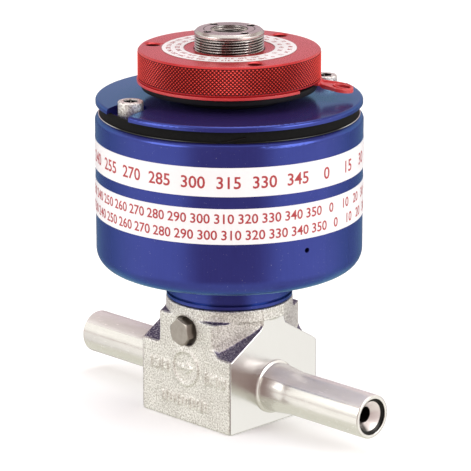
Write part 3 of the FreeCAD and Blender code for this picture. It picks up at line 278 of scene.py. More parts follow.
# Each row: its left end, its middle's height, the step and width of its bars, and their lengths.
BAR_ROWS = (
    (-14.6 * MM, 15.6 * MM, 1.15 * MM, 0.55 * MM, (LONG_BAR, SHORT_BAR) * 3 + (LONG_BAR,)),
    (8.0 * MM, 15.3 * MM, 1.15 * MM, 0.55 * MM, (LONG_BAR, SHORT_BAR) * 4),
    (-9.6 * MM, 6.4 * MM, 1.6 * MM, 0.5 * MM, (SHORT_BAR, LONG_BAR, SHORT_BAR) * 4),
)
CORE_VOXEL = 0.27 * MM
FORGED_SMOOTHING = 5
FLAT_MARGIN = 0.22 * MM

standing = Matrix.Rotation(math.radians(90), 4, "X")
on_front = Matrix.Translation((0, FRONT_Y + MARK_ROOT, MARK_Z)) @ standing
forging = bmesh.new()
forging.from_mesh(nodes["valve_body"].data)
bmesh.ops.remove_doubles(forging, verts=forging.verts, dist=SAME_POINT)
marks = [[circle(radius, MARK_STEPS) for radius in MARK_RING], [ARROW]]
for start, middle, step, width, lengths in BAR_ROWS:
    for number, length in enumerate(lengths):
        left, right = start + step * number, start + step * number + width
        low, high = middle - MARK_Z - length / 2, middle - MARK_Z + length / 2
        marks.append([[(left, low), (right, low), (right, high), (left, high)]])
for outlines in marks:
    mark = extruded(outlines, on_front, MARK_ROOT + MARK_HEIGHT)
    forging.from_mesh(to_mesh("mark", mark))
valve_body = new_piece("forged_body", to_mesh("forged_body", forging))
core = valve_body.modifiers.new("Core", "REMESH")
core.mode = "VOXEL"
core.voxel_size = CORE_VOXEL
core.use_smooth_shade = True
wear = valve_body.modifiers.new("Wear", "SMOOTH")
wear.factor = 0.5
wear.iterations = FORGED_SMOOTHING
apply_modifiers(valve_body)
# The smoothing rounds the machined end faces too, so they are set flat again.
for vertex in valve_body.data.vertices:
    if abs(vertex.co.x) > FACE_X - FLAT_MARGIN and vertex.co.z < LEDGE_Z - FLAT_MARGIN:
        vertex.co.x = math.copysign(FACE_X, vertex.co.x)

SPOT_RADIUS = 4.45 * MM
SPOT_HEIGHT = 27.8 * MM
POCKET_LOW, POCKET_HIGH = 14 * MM, 33 * MM
DARK_LINE = (0.16, 0.14, 0.13)

blasted = Finish("forged_stainless", Metallic=1.0)
here = blasted.place()
along = blasted.part(here, "X")
across = blasted.part(here, "Y")
height = blasted.part(here, "Z")
machined = abs(along).between(FACE_X - 0.12 * MM, FACE_X - 0.04 * MM)
machined = machined * (1 - height.between(LEDGE_Z, LEDGE_Z + 0.1 * MM))
rough_part = 1 - machined
pits = blasted.grain(here, 0.50 * MM, detail=3, roughness=0.75)
patches = blasted.grain(here, 6 * MM)
polish = blasted.grain(here, 0.5 * MM, stretch=(1.0, 0.25, 9.0))
speckle = (pits + patches * 0.15).between(0.44, 0.70)
rough_tone = blasted.blend(speckle, (0.52, 0.49, 0.44), (1.0, 0.99, 0.94))
# Painted reflection: the pockets' upward faces are painted dark violet, for the housing's underside they
# mirror.
pocket_reflection_tone = blasted.blend(pits.between(0.46, 0.64), (0.09, 0.07, 0.14), (0.60, 0.56, 0.62))
pocket_reflection = blasted.upward().between(0.25, 0.5) * height.inside(POCKET_LOW, POCKET_HIGH, 0.5 * MM)
pocket_reflection = pocket_reflection * across.between(FRONT_Y + 0.6 * MM, FRONT_Y + 1.0 * MM)
rough_tone = blasted.blend(pocket_reflection, rough_tone, pocket_reflection_tone)
# Painted shade: the spot face round the lock screw is painted dark, and a painted contact shadow runs
# along the foot; a dark line also runs down the front's right edge.
from_screw = blasted.from_axis(here, "Y", (0.0, 0.0, SPOT_HEIGHT))
spot_shade = 1 - from_screw.between(SPOT_RADIUS - 0.1 * MM, SPOT_RADIUS)
spot_shade = spot_shade * across.inside(FRONT_Y + 0.4 * MM, FRONT_Y + 3 * MM, 0.2 * MM)
near_front = 1 - across.between(FRONT_Y + 0.3 * MM, FRONT_Y + 0.4 * MM)
corner_line = along.inside(FACE_X - 0.26 * MM, FACE_X - 0.08 * MM, 0.05 * MM) * near_front
foot_shadow = 1 - height.between(0.15 * MM, 0.35 * MM)
dark_lines = (corner_line + foot_shadow * 0.6 + spot_shade).between(0.0, 1.0)
rough_tone = blasted.blend(dark_lines * 0.85, rough_tone, DARK_LINE)
machined_tone = blasted.blend(polish, (0.70, 0.69, 0.66), (0.78, 0.77, 0.75))
blasted.set(
    Base_Color=blasted.blend(machined, rough_tone, machined_tone),
    Roughness=machined * (polish * 0.10 + 0.16) + rough_part * (pits * 0.25 + 0.34))
blasted.bump(pits * rough_part + polish * machined * 0.02, 0.26 * MM)
fit_out(valve_body, blasted, "valve", "forged_stainless", "valve_body")


# Tube stubs: drawn half-inch tube, polished lengthwise, set into the body and rolled out to a collar
# against its face. Each end is counterbored, with the drill's cone down to the flow bore.
ROUNDING_STEPS = 5


def soften(corners):
    """Outline through corners of (radius, height), rounded where a third value gives a radius."""
    points = []
    for number, corner in enumerate(corners):
        here = Vector(corner[:2])
        if len(corner) == 2:
            points.append(tuple(here))
            continue
        rounding = corner[2]
        back = (Vector(corners[number - 1][:2]) - here).normalized()
        ahead = (Vector(corners[(number + 1) % len(corners)][:2]) - here).normalized()
        half = back.angle(ahead) / 2
        centre = here + (back + ahead).normalized() * rounding / math.sin(half)
        start = (here + back * rounding / math.tan(half) - centre).normalized()
        end = (here + ahead * rounding / math.tan(half) - centre).normalized()
        for step in range(ROUNDING_STEPS + 1):
            points.append(tuple(centre + start.slerp(end, step / ROUNDING_STEPS, start) * rounding))
    return points


def turned(name, outline, columns, sharp=30, upright=True):
    """Closed outline of (radius, height) turned about Z, or about X; a radius may depend on the angle."""
    form = bmesh.new()
    rings = []
    for radius, height in outline:
        ring = []
        for column in range(columns):
            angle = FULL_TURN * column / columns
            reach = radius(angle) if callable(radius) else radius
            ring.append(form.verts.new((*polar(reach, angle), height)))
        rings.append(ring)
    for number, ring in enumerate(rings):
        before = rings[number - 1]
        for column in range(columns):
            form.faces.new((before[column - 1], before[column], ring[column], ring[column - 1]))
    bmesh.ops.remove_doubles(form, verts=form.verts, dist=SAME_POINT / 2)
    bmesh.ops.recalc_face_normals(form, faces=form.faces)
    if not upright:
        bmesh.ops.rotate(form, verts=form.verts, matrix=Matrix.Rotation(math.radians(90), 3, "Y"))
    mesh = to_mesh(name, form)
    mesh.shade_smooth()
    mesh.set_sharp_from_angle(angle=math.radians(sharp))
    return new_piece(name, mesh)


TUBE_RADIUS = 6.35 * MM
TUBE_REACH = 57.15 * MM
TUBE_BORE = 2.25 * MM
MOUTH_RADIUS = 5.25 * MM
MOUTH_DEPTH = 0.6 * MM
CONE_RADIUS = 4.4 * MM
CONE_START = 0.9 * MM
CONE_DEPTH = 2.3 * MM
FOOT_RADIUS, FOOT_END = 7.9 * MM, 0.55 * MM
COLLAR_RADIUS, COLLAR_START, COLLAR_END = 7.15 * MM, 1.6 * MM, 3.4 * MM
COLLAR_FALL = 0.1 * MM
TAPER_END = 9.2 * MM
FLOW_HEIGHT = 11.14 * MM
SOCKET_DEPTH = 4.0 * MM
FACE_OVERLAP = 0.1 * MM
TUBE_COLUMNS = 128

drawn = Finish("tube_stainless")
here = drawn.place()
along = drawn.part(here, "X")
across = drawn.part(here, "Y")
draw_lines = drawn.grain(here, 0.22 * MM, detail=4, stretch=(60.0, 1.0, 1.0))
smears = drawn.grain(here, 2.2 * MM, detail=2, stretch=(3.0, 1.0, 1.0))
scuffs = drawn.grain(here, 0.5 * MM, detail=5, stretch=(4.0, 1.0, 1.0), roughness=0.7)
from_bore = drawn.from_axis(here, "X", (0.0, 0.0, FLOW_HEIGHT))
# Painted shade: the counterbore's wall and the flow bore are painted near black, and the drill's cone is
# painted dark on its -Y side as shade and light on its +Y side as a painted highlight.
inside_mouth = 1 - from_bore.between(MOUTH_RADIUS + 0.02 * MM, MOUTH_RADIUS + 0.08 * MM)
wall = inside_mouth * (1 - abs(along).between(TUBE_REACH - 0.18 * MM, TUBE_REACH - 0.10 * MM))
wall = wall * from_bore.between(CONE_RADIUS - 0.15 * MM, CONE_RADIUS)
bore = 1 - from_bore.between(TUBE_BORE + 0.05 * MM, TUBE_BORE + 0.15 * MM)
mouth_part = 1 - from_bore.between(CONE_RADIUS - 0.1 * MM, CONE_RADIUS + 0.1 * MM)
cone_tone = drawn.blend(across.between(-1.6 * MM, 0.4 * MM), (0.05, 0.045, 0.04), (0.88, 0.82, 0.79))
tube_tone = drawn.blend(draw_lines * 0.6 + smears * 0.4, (0.66, 0.64, 0.59), (0.86, 0.84, 0.80))
tube_tone = drawn.blend(mouth_part, tube_tone, cone_tone)
# Painted reflection: each tube's upper band, outside the mouth, gets a greyer tone and less metal, for
# the soft reflection of the housing above it.
top_reflection = drawn.upward().between(0.60, 0.64) * (1 - inside_mouth)
top_reflection_tone = drawn.blend(smears, (0.64, 0.60, 0.58), (0.80, 0.76, 0.74))
tube_tone = drawn.blend(top_reflection, tube_tone, top_reflection_tone)
drawn.set(
    Base_Color=drawn.blend(wall + bore, tube_tone, (0.012, 0.011, 0.010)),
    Metallic=0.78 - mouth_part * 0.4 - top_reflection * 0.46,
    Roughness=draw_lines * 0.08 + scuffs.between(0.58, 0.75) * 0.14 + mouth_part * 0.1 + 0.19)
drawn.bump(draw_lines + scuffs.between(0.62, 0.72) * 0.5, 0.004 * MM)
stub_outline = soften([
    (TUBE_BORE, FACE_X - SOCKET_DEPTH), (TUBE_RADIUS, FACE_X - SOCKET_DEPTH),
    (TUBE_RADIUS, FACE_X - FACE_OVERLAP), (FOOT_RADIUS, FACE_X - FACE_OVERLAP),
    (FOOT_RADIUS, FACE_X + FOOT_END, 0.3 * MM),
    (COLLAR_RADIUS - COLLAR_FALL, FACE_X + FOOT_END + 0.3 * MM, 0.25 * MM),
    (COLLAR_RADIUS, FACE_X + COLLAR_START, 0.5 * MM),
    (COLLAR_RADIUS - COLLAR_FALL, FACE_X + COLLAR_END, 3.0 * MM),
    (TUBE_RADIUS, FACE_X + TAPER_END, 16.0 * MM), (TUBE_RADIUS, TUBE_REACH, 0.42 * MM),
    (MOUTH_RADIUS, TUBE_REACH, 0.16 * MM), (MOUTH_RADIUS, TUBE_REACH - MOUTH_DEPTH),
    (CONE_RADIUS, TUBE_REACH - CONE_START), (TUBE_BORE, TUBE_REACH - CONE_START - CONE_DEPTH, 0.2 * MM),
])
at_flow_height = Matrix.Translation((0, 0, FLOW_HEIGHT))
for name, turn in (("inlet_stub", FULL_TURN / 2), ("outlet_stub", 0.0)):
    stub = turned(name + "_tube", stub_outline, TUBE_COLUMNS, upright=False)
    stub.data.transform(at_flow_height @ Matrix.Rotation(turn, 4, "Z"))
    fit_out(stub, drawn, "valve", "tube_stainless", name)


# Lock screw: a plain hexagon screw through the front ear, tightened against the actuator's thread.
# Its face is turned, with a chamfer round the corners, and it has gone brown with handling.
def break_edges(piece, width):
    """Take the sharp edges off a carried-over solid, as tumbling does."""
    weld = piece.modifiers.new("Weld", "WELD")
    weld.merge_threshold = SAME_POINT
    edge = piece.modifiers.new("Edges", "BEVEL")
    edge.width = width
    edge.segments = 2
    edge.limit_method = "ANGLE"
    edge.angle_limit = math.radians(28)
    edge.harden_normals = True


screw_steel = Finish("screw_steel", Metallic=1.0)
here = screw_steel.place()
stain = screw_steel.grain(here, 1.4 * MM, detail=4)
turning = screw_steel.grain(here, 0.12 * MM, detail=2, stretch=(2.0, 1.0, 14.0))
screw_steel.set(
    Base_Color=screw_steel.blend(stain * 0.7 + turning * 0.3, (0.25, 0.22, 0.19), (0.50, 0.46, 0.41)),
    Roughness=stain * 0.2 + 0.26)
screw_steel.bump(turning + stain * 0.5, 0.012 * MM)
break_edges(nodes["lock_screw"], 0.14 * MM)
for name in ("lock_screw", "piston_nut"):
    paint(nodes[name], screw_steel)


# Actuator housing: a cup turned from aluminium bar and anodised blue, glossy, with the tool's fine rings
# still in it. The cover is of the same stock and went through the same bath. Its upper face is given a
# violet tone, with a painted reflection that lightens it towards the back.
LID_LOW = 90 * MM
BACK_ALONG, BACK_ACROSS = -0.709, 0.705
REFLECTION_START, REFLECTION_END = -30 * MM, 36 * MM

blue = Finish("blue_anodised", Metallic=0.55, IOR=1.5, Specular_Tint=(0.06, 0.86, 1.0))
here = blue.place()
along = blue.part(here, "X")
across = blue.part(here, "Y")
height = blue.part(here, "Z")
feed_marks = blue.grain(here, 0.10 * MM, detail=2, stretch=(90.0, 90.0, 1.0))
tooling = blue.grain(here, 0.35 * MM, detail=3, stretch=(1.0, 1.0, 40.0))
bath = blue.grain(here, 9 * MM, detail=2)
dust = blue.grain(here, 0.30 * MM, detail=1).between(0.755, 0.79)
blue_tone = blue.blend(bath * 0.5 + tooling * 0.5, (0.039, 0.036, 0.212), (0.053, 0.054, 0.290))
# Painted reflection: the cover's upper face lightens towards the back.
lid_face = blue.upward().between(0.85, 0.95) * height.between(LID_LOW, LID_LOW + 2 * MM)
far_side_reflection = (along * BACK_ALONG + across * BACK_ACROSS).between(REFLECTION_START, REFLECTION_END)
lid_reflection_tone = blue.blend(far_side_reflection, (0.068, 0.042, 0.222), (0.14, 0.086, 0.315))
blue_tone = blue.blend(lid_face, blue_tone, lid_reflection_tone)
blue.set(
    Base_Color=blue.blend(dust * 0.6, blue_tone, (0.55, 0.55, 0.62)),
    Roughness=feed_marks * 0.08 + tooling * 0.04 + 0.15 - lid_face * 0.06)
blue.bump(feed_marks + tooling * 0.3, 0.004 * MM)
for name in ("actuator_housing", "cover"):
    paint(nodes[name], blue)


# Label bands: two sleeves of white film round the housing, printed red with plain scales in degrees. The
# scales count from the outlet side, and the two rows of the lower band start a little further round.
RING_FILM_BORE, RING_FILM_RADIUS = 13.0 * MM, 19.4 * MM
RIM_LINE = 0.16 * MM
RING_FILM_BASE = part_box("ring_label")[0][2]

film = Finish("label_film", Coat_Weight=0.25, Coat_Roughness=0.2)
here = film.place()
height = film.part(here, "Z")
weave = film.grain(here, 0.8 * MM, detail=3)
age = film.grain(here, 11 * MM, detail=2)
film_tone = film.blend(age * 0.6 + weave * 0.4, (0.80, 0.79, 0.79), (0.90, 0.90, 0.91))
from_middle = film.from_axis(here)
rim_line = 1 - from_middle.inside(RING_FILM_BORE + RIM_LINE, RING_FILM_RADIUS - RIM_LINE, RIM_LINE / 4)
rim_line = rim_line * height.between(RING_FILM_BASE - 1 * MM, RING_FILM_BASE)
film.set(
    Base_Color=film.blend(rim_line * 0.8, film_tone, (0.20, 0.05, 0.04)),
    Roughness=weave * 0.12 + 0.32)
film.bump(weave, 0.008 * MM)
for name in ("band_label_upper", "band_label_lower", "ring_label"):
    paint(nodes[name], film)

ink = Finish("label_ink")
here = ink.place()
thin_ink = ink.grain(here, 0.35 * MM, detail=3)
ink.set(
    Base_Color=ink.blend(thin_ink, (0.34, 0.015, 0.025), (0.50, 0.05, 0.055)),
    Roughness=thin_ink * 0.15 + 0.35)
INK_LIFT = 0.02 * MM
INK_SPREAD = 0.018
DIGIT_SHARE = 0.72


def printed(name, step, digit_height, place):
    """Scale of degrees in flat digits; place gives a point for (angle, sideways, upwards) in a number."""
    digits = bmesh.new()
    for angle in range(0, 360, step):
        curve = bpy.data.curves.new("number", "FONT")
        curve.body = str(angle)
        curve.size = digit_height / DIGIT_SHARE
        curve.resolution_u = 3
        curve.align_x = "CENTER"
        curve.offset = INK_SPREAD * digit_height
        writer = new_piece("number", curve)
        mesh = bpy.data.meshes.new_from_object(writer)
        for vertex in mesh.vertices:
            vertex.co = place(angle, vertex.co.x, vertex.co.y - digit_height / 2)
        digits.from_mesh(mesh)
        bpy.data.objects.remove(writer)
    bmesh.ops.triangulate(digits, faces=digits.faces)
    return new_piece(name, to_mesh(name, digits))


def round_housing(start, height, radius):
    """Digits upright on the housing, read from outside."""
    def place(angle, sideways, upwards):
        return *polar(radius, math.radians(start + angle) + sideways / radius), height + upwards
    return place


upper_low, upper_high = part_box("band_label_upper")
lower_low, lower_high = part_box("band_label_lower")
FILM_RADIUS = upper_high[0] + INK_LIFT
UPPER_MIDDLE = (upper_low[2] + upper_high[2]) / 2
LOWER_MIDDLE = (lower_low[2] + lower_high[2]) / 2
ROW_RISE = 2.35 * MM
PRINTED_ROWS = (
    ("upper_scale", 15, 0, UPPER_MIDDLE, 3.5 * MM),
    ("lower_scale_top", 10, 3, LOWER_MIDDLE + ROW_RISE, 2.8 * MM),
    ("lower_scale_bottom", 10, 6, LOWER_MIDDLE - ROW_RISE, 2.8 * MM),
)
for name, step, start, middle, digit_height in PRINTED_ROWS:
    row = printed(name, step, digit_height, round_housing(start, middle, FILM_RADIUS))
    fit_out(row, ink, "valve", "label_film")


# Cover, its screws and the gap under its rim: two socket head screws of plated steel stand in notches, a
# black seal closes the gap, and a bright wire with one free end holds the seal down.
SCREW_CIRCLE = 32.3 * MM
SCREW_ANGLE = math.radians(76)
HEAD_TOP = 96.85 * MM
SOCKET_RADIUS = 2.3 * MM
SCREW_CENTRES = [polar(SCREW_CIRCLE, angle) for angle in (SCREW_ANGLE, SCREW_ANGLE + FULL_TURN / 2)]

plated = Finish("plated_steel", Metallic=1.0)
here = plated.place()
height = plated.part(here, "Z")
crust = plated.grain(here, 0.55 * MM, detail=5, roughness=0.7)
from_first, from_second = (plated.from_axis(here, "Z", (*centre, 0.0)) for centre in SCREW_CENTRES)
# Painted shade: the hex sockets are painted near black below their mouths.
socket = 1 - from_first.least(from_second).between(SOCKET_RADIUS - 0.1 * MM, SOCKET_RADIUS)
socket = socket * (1 - height.between(HEAD_TOP - 0.5 * MM, HEAD_TOP - 0.1 * MM))
plated_tone = plated.blend(crust.between(0.36, 0.60), (0.40, 0.35, 0.32), (0.97, 0.95, 0.92))
plated.set(
    Base_Color=plated.blend(socket, plated_tone, (0.03, 0.03, 0.035)),
    Roughness=crust * 0.25 + 0.30)
plated.bump(crust, 0.22 * MM)
break_edges(nodes["cover_screws"], 0.10 * MM)
paint(nodes["cover_screws"], plated)

rubber = Finish("seal_rubber", Specular_IOR_Level=0.08)
here = rubber.place()
bloom = rubber.grain(here, 0.9 * MM, detail=4)
rubber.set(
    Base_Color=rubber.blend(bloom, (0.004, 0.004, 0.004), (0.011, 0.011, 0.011)),
    Roughness=bloom * 0.2 + 0.60)
rubber.bump(bloom, 0.02 * MM)
for name in ("edge_seal", "cover_seal", "piston_seal", "rod_seals"):
    paint(nodes[name], rubber)

# Painted shade: the wire is painted near black where the rim shades it, and keeps its steel colour only
# at two opposite sides, where it catches light.
SIDE_ALONG, SIDE_ACROSS = 0.705, 0.709
WIRE_SHADED, WIRE_LIT = 30 * MM, 34 * MM
bright = Finish("spring_steel", Metallic=1.0)
here = bright.place()
along = bright.part(here, "X")
across = bright.part(here, "Y")
draw_marks = bright.grain(here, 0.3 * MM, detail=3)
lit_sides = abs(along * SIDE_ALONG + across * SIDE_ACROSS).between(WIRE_SHADED, WIRE_LIT)
wire_tone = bright.blend(draw_marks, (0.55, 0.54, 0.52), (0.86, 0.85, 0.83))
bright.set(
    Base_Color=bright.blend(lit_sides, (0.05, 0.05, 0.05), wire_tone),
    Roughness=draw_marks * 0.12 + 0.14)
bright.bump(draw_marks, 0.004 * MM)
paint(nodes["retaining_wire"], bright)


# Parts inside the actuator and the body, seen only where the valve is opened or cut: soft seats and
# packing, a bronze bush, and the turned piston.
soft_seat = Finish("seat_plastic")
packing = Finish("packing")
bronze = Finish("bronze", Metallic=1.0)
plain_aluminium = Finish("plain_aluminium", Metallic=1.0)
HIDDEN = (
    (soft_seat, (0.78, 0.76, 0.68), (0.88, 0.86, 0.80), 0.45, ("seat_disc", "neck_gasket")),
    (packing, (0.80, 0.80, 0.78), (0.92, 0.92, 0.90), 0.50, ("stem_seals",)),
    (bronze, (0.46, 0.31, 0.13), (0.66, 0.48, 0.24), 0.30, ("gland_bush",)),
    (plain_aluminium, (0.60, 0.60, 0.61), (0.78, 0.78, 0.79), 0.28, ("piston",)),
)
for finish, dark, light, roughness, names in HIDDEN:
    here = finish.place()
    rings = finish.grain(here, 0.2 * MM, detail=3, stretch=(20.0, 20.0, 1.0))
    finish.set(Base_Color=finish.blend(rings, dark, light), Roughness=rings * 0.12 + roughness)
    finish.bump(rings, 0.006 * MM)
    for name in names:
        paint(nodes[name], finish)


# Disc springs: dished discs of spring steel, stacked round the rod below the cover, that close the valve.
# The rising piston flattens the stack by the lift.
springs = new_piece("spring_stack", nodes["disc_springs"].data.copy())
fit_out(springs, bright, "valve", "spring_steel", "disc_springs")
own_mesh(springs)


# Thrust ring: moulded in black plastic with rounded edges. It lies on the cover, and carries the clip and
# the hand ring.
black = Finish("black_plastic", Specular_IOR_Level=0.15)
here = black.place()
scuff = black.grain(here, 1.2 * MM, detail=4)
black.set(
    Base_Color=black.blend(scuff, (0.005, 0.005, 0.006), (0.014, 0.013, 0.014)),
    Roughness=scuff * 0.2 + 0.50)
black.bump(scuff, 0.01 * MM)
break_edges(nodes["thrust_ring"], 0.25 * MM)
paint(nodes["thrust_ring"], black)


# Lock clip: an open washer moulded in red plastic, pushed between the thrust ring and the hand ring. Its
# tab bends down outside the rings and has a raised border and an eye for the finger or a lanyard.
ring_low, ring_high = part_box("override_ring")
CLIP_TOP = ring_low[2] - 0.05 * MM
CLIP_THICKNESS = 0.8 * MM
CLIP_RADIUS = 26.5 * MM
CLIP_BORE = 11.0 * MM
MOUTH_START, MOUTH_END = math.radians(4), math.radians(28)
TAB_ANGLE = math.radians(38.5)
TAB_ROOT = 24.8 * MM
# The tab bends down between bend and knee by its step, and droops on from the knee to its tip.
TAB_BEND, TAB_KNEE, TAB_REACH = 25.6 * MM, 27.0 * MM, 35.6 * MM
TAB_STEP, TAB_DROOP = 1.05 * MM, 1.4 * MM
TAB_WAIST, TAB_HALF_WIDTH, TAB_ROUND = 2.9 * MM, 4.4 * MM, 3.9 * MM
TAB_HEAD = TAB_REACH - TAB_HALF_WIDTH
EYE_PLACE = 32.5 * MM
EYE_RADIUS = 1.85 * MM
EYE_STRETCH = 0.35 * MM
EYE_STEPS = 32
BORDER_START = 26.2 * MM
BORDER_INSET = 0.36 * MM
BORDER_RADIUS = 0.34 * MM
ARC_STEP = math.radians(3)


def arc(radius, start, end, centre=(0, 0)):
    """Points from one angle to another, about an arc step apart."""
    steps = max(2, round(abs(end - start) / ARC_STEP))
    return [polar(radius, start + (end - start) * step / steps, centre) for step in range(steps + 1)]


def tab_outline(inset, root):
    """The tab's edge, from one side of its root round to the other, with the tab along +X."""
    half, corner, waist = TAB_HALF_WIDTH - inset, TAB_ROUND - inset, TAB_WAIST - inset
    quarter = math.pi / 2
    place = TAB_REACH - inset - corner
    end = arc(corner, 0, quarter, (place, half - corner))
    side = soften([(place, half), (TAB_HEAD, half, 3 * MM),
                   (CLIP_RADIUS, waist, 1.5 * MM), (root, waist)])
    upper = end + side[1:]
    return upper[::-1] + [(x, -y) for x, y in upper]


def eye_outline(radius):
    """The eye is a little longer than wide."""
    whole = circle(radius, EYE_STEPS, (EYE_PLACE, 0))
    return [(x + math.copysign(EYE_STRETCH, x - EYE_PLACE), y) for x, y in whole]


def fall(distance):
    """How far the tab has bent down at this distance from the middle."""
    steep = min(max(distance - TAB_BEND, 0.0) / (TAB_KNEE - TAB_BEND), 1.0)
    return TAB_STEP * steep + TAB_DROOP * max(distance - TAB_KNEE, 0.0) / (TAB_REACH - TAB_KNEE)


clip_place = Matrix.Translation((0, 0, CLIP_TOP - CLIP_THICKNESS))
tab = extruded([tab_outline(0, TAB_ROOT), eye_outline(EYE_RADIUS)], clip_place, CLIP_THICKNESS)
for place in (TAB_BEND, TAB_KNEE):
    whole = tab.verts[:] + tab.edges[:] + tab.faces[:]
    bmesh.ops.bisect_plane(tab, geom=whole, plane_co=(place, 0, 0), plane_no=(1, 0, 0))
for vertex in tab.verts:
    vertex.co.z -= fall(vertex.co.x)
bmesh.ops.rotate(tab, verts=tab.verts, matrix=Matrix.Rotation(TAB_ANGLE, 3, "Z"))
clip_bore = arc(CLIP_BORE, MOUTH_START + FULL_TURN, MOUTH_END)
clip_rim = arc(CLIP_RADIUS, MOUTH_END, MOUTH_START + FULL_TURN)
plate = extruded([clip_bore + clip_rim], clip_place, CLIP_THICKNESS)
clip = new_piece("clip_washer", to_mesh("clip_washer", plate))
break_edges(clip, 0.12 * MM)
clip_tab = new_piece("clip_tab", to_mesh("clip_tab", tab))

red_plastic = Finish("red_plastic", Coat_Weight=0.3, Coat_Roughness=0.15)
here = red_plastic.place()
flow = red_plastic.grain(here, 3 * MM, detail=3)
skin = red_plastic.grain(here, 0.25 * MM, detail=2)
red_plastic.set(
    Base_Color=red_plastic.blend(flow, (0.52, 0.020, 0.026), (0.66, 0.045, 0.045)),
    Roughness=skin * 0.15 + 0.28)
red_plastic.bump(skin, 0.01 * MM)
fit_out(clip, red_plastic, "lock_clip", "red_plastic", "lock_clip")
fit_out(clip_tab, red_plastic, "lock_clip", "red_plastic")


def cord_of(name, points, radius, closed):
    """Round moulding along points."""
    curve = bpy.data.curves.new(name, "CURVE")
    curve.dimensions = "3D"
    curve.bevel_depth = radius
    curve.bevel_resolution = 3
    curve.use_fill_caps = True
    spline = curve.splines.new("POLY")
    spline.points.add(len(points) - 1)
    for place, point in zip(spline.points, points):
        place.co = (*point, 1)
    spline.use_cyclic_u = closed
    return new_piece(name, curve)


BORDERS = (("clip_border", tab_outline(BORDER_INSET, BORDER_START), False),
           ("clip_eye_border", eye_outline(EYE_RADIUS + BORDER_INSET), True))
for name, outline, closed in BORDERS:
    points = [(x, y, CLIP_TOP - fall(x)) for x, y in outline]
    border = cord_of(name, points, BORDER_RADIUS, closed)
    border.data.transform(Matrix.Rotation(TAB_ANGLE, 4, "Z"))
    fit_out(border, red_plastic, "lock_clip", "red_plastic")


# Hand ring: aluminium, turned, diamond knurled round the edge and anodised red. It runs on the rod's
# thread; three blind holes take a pin spanner, and a film label lies on top.
HAND_RADIUS = ring_high[0]
HAND_BASE, HAND_TOP = ring_low[2], ring_high[2]
HAND_BORE = 10.1 * MM
HAND_BEVEL = 0.5 * MM
KNURL_COUNT = 144
KNURL_DEPTH = 0.33 * MM
KNURL_GAP = 0.05 * MM
KNURL_ROW = FULL_TURN * HAND_RADIUS / KNURL_COUNT / 2
PIN_HOLE_CIRCLE, PIN_HOLE_COUNT, PIN_HOLE_START = 22.3 * MM, 3, math.radians(94)
PIN_HOLE_RADIUS, PIN_HOLE_DEPTH, PIN_HOLE_CHAMFER = 2.1 * MM, 5.0 * MM, 0.3 * MM
HOLE_COLUMNS = 40


def add_knurl(form, radius, low, high):
    """Diamond knurl: two crossed families of grooves, with a peak in each diamond.

    Grooves cross where column and row add up to an even number, and the peaks stand between them.
    """
    rows = 2 * round((high - low) / KNURL_ROW / 2)
    rise = (high - low) / rows
    step = FULL_TURN / KNURL_COUNT

    def point(column, row, reach):
        angle = step * column / 2
        return form.verts.new((*polar(reach, angle), low + rise * row))

    root, crest = radius - KNURL_DEPTH, radius
    crossings = {}
    peaks = {}
    for row in range(rows + 1):
        for column in range(2 * KNURL_COUNT):
            if (column + row) % 2 == 0:
                crossings[column, row] = point(column, row, root)
            elif 0 < row < rows:
                peaks[column, row] = point(column, row, crest)
            else:
                peaks[column, row] = point(column, row, (root + crest) / 2)
    whole = 2 * KNURL_COUNT
    for (column, row), peak in peaks.items():
        right, left = (column + 1) % whole, (column - 1) % whole
        around = [crossings.get(place) for place in
                  ((right, row), (column, row + 1), (left, row), (column, row - 1))]
        for number, corner in enumerate(around):
            following = around[(number + 1) % 4]
            if corner and following:
                form.faces.new((peak, corner, following))


def drill(piece, centres, radius, depth, top, chamfer):
    """Blind holes from above with chamfered mouths, cut by one form that holds all of them."""
    above = 0.5 * MM
    bit = turned("bit", [(0, top - depth), (radius, top - depth), (radius, top - chamfer),
                         (radius + chamfer + above, top + above), (0, top + above)], HOLE_COLUMNS)
    bits = bmesh.new()
    for x, y in centres:
        start = len(bits.verts)
        bits.from_mesh(bit.data)
        bits.verts.ensure_lookup_table()
        bmesh.ops.translate(bits, verts=bits.verts[start:], vec=(x, y, 0))
    bpy.data.objects.remove(bit)
    tool = new_piece("bits", to_mesh("bits", bits))
    cut = piece.modifiers.new("Holes", "BOOLEAN")
    cut.operation = "DIFFERENCE"
    cut.solver = "EXACT"
    cut.object = tool
    apply_modifiers(piece)
    bpy.data.objects.remove(tool)


knurl_low = HAND_BASE + HAND_BEVEL
knurl_high = HAND_TOP - HAND_BEVEL
knurl_root = HAND_RADIUS - KNURL_DEPTH
core_radius = knurl_root - KNURL_GAP
hand_outline = soften([
    (HAND_BORE, HAND_BASE, HAND_BEVEL), (HAND_RADIUS, HAND_BASE, HAND_BEVEL),
    (HAND_RADIUS, knurl_low), (core_radius, knurl_low + KNURL_GAP),
    (core_radius, knurl_high - KNURL_GAP), (HAND_RADIUS - 0.1 * MM, knurl_high),
    (HAND_RADIUS - HAND_BEVEL, HAND_TOP, 0.2 * MM), (HAND_BORE, HAND_TOP, HAND_BEVEL),
])
hand_ring = turned("hand_ring", hand_outline, 2 * KNURL_COUNT)
pin_holes = circle(PIN_HOLE_CIRCLE, PIN_HOLE_COUNT, first=PIN_HOLE_START)
drill(hand_ring, pin_holes, PIN_HOLE_RADIUS, PIN_HOLE_DEPTH, HAND_TOP, PIN_HOLE_CHAMFER)
hand_form = bmesh.new()
hand_form.from_mesh(hand_ring.data)
first_knurl_face = len(hand_form.faces)
add_knurl(hand_form, HAND_RADIUS, knurl_low, knurl_high)
hand_form.faces.ensure_lookup_table()
for face in hand_form.faces[first_knurl_face:]:
    face.smooth = False
bmesh.ops.recalc_face_normals(hand_form, faces=hand_form.faces[first_knurl_face:])
hand_form.to_mesh(hand_ring.data)
hand_form.free()

